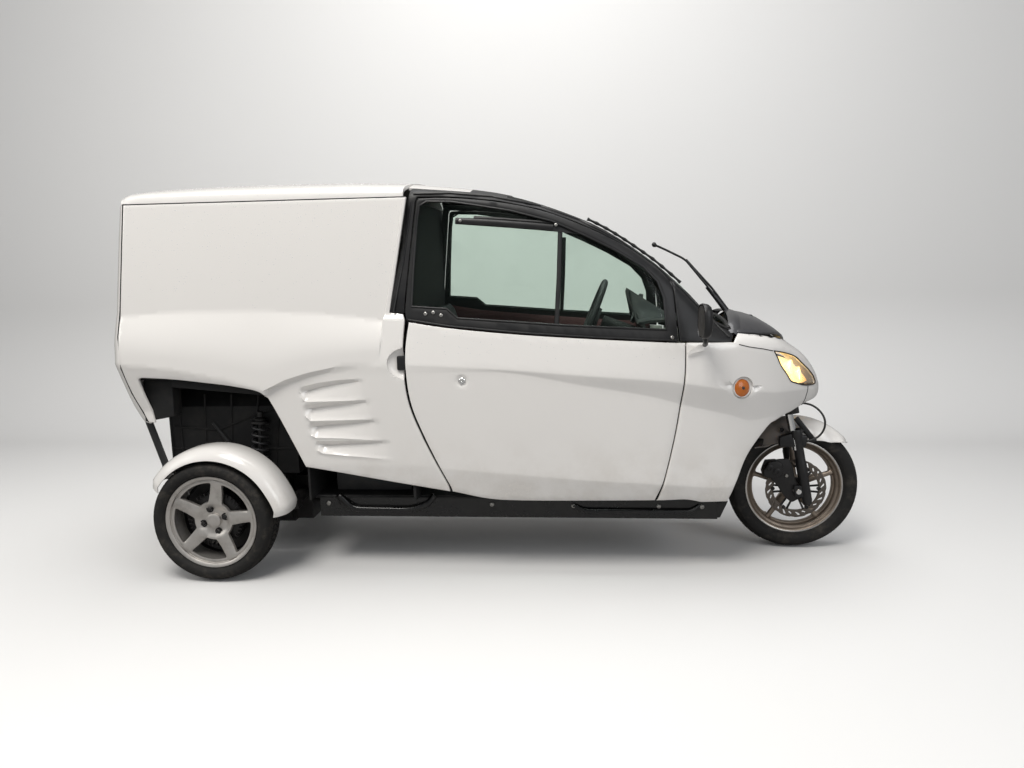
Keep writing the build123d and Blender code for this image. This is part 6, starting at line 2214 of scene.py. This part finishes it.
class CAR_OT_outside(Builder, bpy.types.Operator):
    """Builds the mirrors and the wiper"""
    bl_idname, bl_label = "car.outside", "Mirrors and wiper"

    def build(self):
        shell = mirror_part([(0.0, 0.032), (0.6, 0.030), (0.86, 0.020), (0.97, 0.006), (1.0, -0.012), (0.96, -0.022),
                             (0.90, -0.024), (0.88, -0.018), (0.0, -0.018)], 0.62)
        face = mirror_part([(0.0, -0.0105), (0.86, -0.0105), (0.87, -0.0125), (0.0, -0.0125)], 1)
        stalk = tube(bend([(0.752, 0.480, 0.920), (0.757, 0.468, 0.898), (0.764, 0.430, 0.884),
                           (0.766, 0.396, 0.878)], 0.015), 0.0085, 10)
        piece("mirror_shells", paired(merged(shell, stalk)), self.mat["satin"], "cabin", ("mirrors",))
        piece("mirror_faces", paired(face), self.mat["lip"], "cabin")
        foot = panel(lambda x, z: on_skin(x / MM, z / MM, 0.006)[0],
                     rounded([(0.704, 0.845), (0.745, 0.876, 1), (0.786, 0.874, 1), (0.784, 0.862)]), (), 0.012,
                     0.006, 0.003)
        piece("mirror_feet", paired(foot), self.mat["paint"], "cabin")
        self.wiper()

    def wiper(self):
        """Wiper arms, knob and blade."""
        def at(x, z, dy=0.0):
            return Vector((x, dy - 0.020, z))

        rods = [tube(bend([at(0.912, 0.958), at(0.836, 1.064), at(0.744, 1.176), at(0.664, 1.217), at(0.625, 1.235)],
                          0.02), 0.0042, 8),
                tube(bend([at(0.926, 0.963, 0.016), at(0.852, 1.062, 0.016), at(0.748, 1.176, 0.012)], 0.02), 0.0042,
                     8),
                tube([at(0.917, 0.958, 0.004), at(0.866, 1.024, 0.005), at(0.830, 1.066, 0.006)],
                     [0.0105, 0.009, 0.006], 10),
                tube([at(0.905, 0.930), at(0.914, 0.962)], 0.013, 14)]
        knob = bmesh.new()
        bmesh.ops.create_icosphere(knob, subdivisions=3, radius=0.010, matrix=Matrix.Translation(at(0.623, 1.236)))
        for v in knob.verts:
            v.co.z -= 0.004 * smooth_step(v.co.x, 0.625, 0.633)
        rods.append(knob)
        blade = [over_top(0.36 + 0.012 * k, -0.07) + Vector((0, 0, 0.010)) for k in range(31)]
        rods.append(tube(blade, [0.0045 if k % 3 else 0.0070 for k in range(31)], 8))
        piece("wiper_arms", merged(*rods), self.mat["satin"], "cabin", ("wiper",))


# Rain

class CAR_OT_rain(Builder, bpy.types.Operator):
    """Scatters beads of rain over the roof edge and the upper panels"""
    bl_idname, bl_label = "car.rain", "Rain"

    def build(self):
        for source, low, high, share in (("roof_skin", 1.40, 1.47, 1.0), ("cargo_skin_right", 0.98, 1.30, 0.75),
                                         ("cargo_skin_left", 0.98, 1.30, 0.5), ("door_skin_right", 0.80, 0.93, 0.35)):
            body = "door_right" if source.startswith("door") else "cabin"
            bm = bmesh.new()
            bm.from_mesh(bpy.data.objects[source].data)
            layer = bm.verts.layers.float.new("wet")
            for v in bm.verts:
                v[layer] = smooth_step(v.co.z, low, high)
            bmesh.ops.delete(bm, geom=[f for f in bm.faces if f.normal.y * f.calc_center_median().y < 0.0
                                       and abs(f.normal.z) < 0.6 or f.normal.z < -0.2], context="FACES")
            count = self.look.drops * share
            area = sum(f.calc_area() for f in bm.faces) or 1
            made = grown_by(GROUPS["beads"], bm,
                            {"Density": count / area, "Smallest": 0.5, "Largest": 1.7, "Seed": self.look.seed,
                             "Material": self.mat["water"]})
            made.name = f"rain_{source}"
            settle(made.name, made, self.mat["water"], body, sharp=180)


# Stage

# Lamps: name, place and aim in m, width in m, power in W, colour
LAMPS = (("key", (-0.9, -2.9, 4.9), (0, 0, 0.6), 2.4, 182, (1, 0.975, 0.935)),
         ("fill", (3.8, -3.6, 2.6), (0.4, 0, 0.6), 2.6, 50, (0.95, 0.97, 1)),
         ("top", (0, 0.4, 4.8), (0, 0, 0), 3.6, 105, (1, 1, 1)),
         ("rim", (-4.2, -2.0, 2.4), (-0.4, 0, 0.6), 2.2, 30, (1, 0.98, 0.94)))


class CAR_OT_stage(Builder, bpy.types.Operator):
    """Sets the floor and backdrop, pale to the camera and dark grey to bounced and reflected light as painted shade,
    and the studio lamps
    """
    bl_idname, bl_label = "car.stage", "Stage"

    def build(self):
        bm = bmesh.new()
        sweep = [(1.8 + 0.9 * math.sin(a), 0.9 - 0.9 * math.cos(a))
                 for a in (math.radians(9 * k) for k in range(1, 11))]
        rows = [[bm.verts.new((x, y, z)) for x in (-9.0, 9.0)]
                for y, z in [(-6.0, 0.0), (1.8, 0.0), *sweep, (2.7, 6.0)]]
        for one, two in zip(rows, rows[1:]):
            bm.faces.new((one[0], one[1], two[1], two[0]))
        mesh = bpy.data.meshes.new("floor")
        bm.to_mesh(mesh)
        bm.free()
        for polygon in mesh.polygons:
            polygon.use_smooth = True
        s = Shader("studio_floor", specular=0.3)
        # Pale to the camera, dark grey to every other ray: painted shade that dims the light thrown up under the car
        # and the floor's reflection in glass and paint.
        seen = s.node("ShaderNodeLightPath", out="Is Camera Ray")
        pale = s.blend(s.noise(0.8, 3) * 0.4, (0.78, 0.775, 0.765), (0.74, 0.735, 0.725))
        s.feed(base_color=s.blend(seen, (0.33, 0.325, 0.32), pale), roughness=0.55 + s.noise(5, 3) * 0.1)
        mesh.materials.append(s.material)
        floor = put("floor", mesh)
        world = bpy.data.worlds.new("studio")
        world.use_nodes = True
        sky = world.node_tree.nodes["Background"].inputs
        sky[0].default_value, sky[1].default_value = (0.95, 0.97, 1.0, 1), 0.34
        bpy.context.scene.world = world
        for name, at, aim, size, power, colour in LAMPS:
            data = bpy.data.lights.new(name, "AREA")
            data.shape, data.size, data.energy, data.color = "DISK", size, power, colour
            lamp = put(name, data)
            lamp.location = at
            lamp.rotation_euler = (Vector(aim) - Vector(at)).to_track_quat("-Z", "Y").to_euler()
        bpy.context.scene.view_settings.view_transform = "Standard"


class CAR_PT_panel(bpy.types.Panel):
    """Buttons and settings of the dresser"""
    bl_idname, bl_label = "CAR_PT_panel", "Cargo car"
    bl_space_type, bl_region_type, bl_category = "VIEW_3D", "UI", "Cargo car"

    def draw(self, context):
        for settings in (context.scene.car_look, context.scene.car_size):
            for key in settings.__annotations__:
                self.layout.prop(settings, key)
        for step in STEPS:
            self.layout.operator(step.bl_idname)


STEPS = (CAR_OT_camera, CAR_OT_hose, CAR_OT_cargo, CAR_OT_cabin, CAR_OT_doors, CAR_OT_lamps, CAR_OT_wheels,
         CAR_OT_fork, CAR_OT_rear, CAR_OT_under, CAR_OT_interior, CAR_OT_outside, CAR_OT_rain, CAR_OT_stage)
CLASSES = (CarLook, CarSize, *STEPS, CAR_PT_panel)


def register():
    """Adds the settings, operators and panel to Blender."""
    for cls in CLASSES:
        bpy.utils.register_class(cls)
    bpy.types.Scene.car_look = PointerProperty(type=CarLook)
    bpy.types.Scene.car_size = PointerProperty(type=CarSize)


def unregister():
    """Takes them out again."""
    del bpy.types.Scene.car_look
    del bpy.types.Scene.car_size
    for cls in reversed(CLASSES):
        bpy.utils.unregister_class(cls)


def main():
    """Builds everything."""
    register()
    MATERIALS.update(make_materials(bpy.context.scene.car_look))
    GROUPS.update(ring=ring_group(), coil=coil_group(), beads=bead_group())
    for step in STEPS:
        family, name = step.bl_idname.split(".")
        getattr(getattr(bpy.ops, family), name)()


if __name__ == "__main__":
    main()
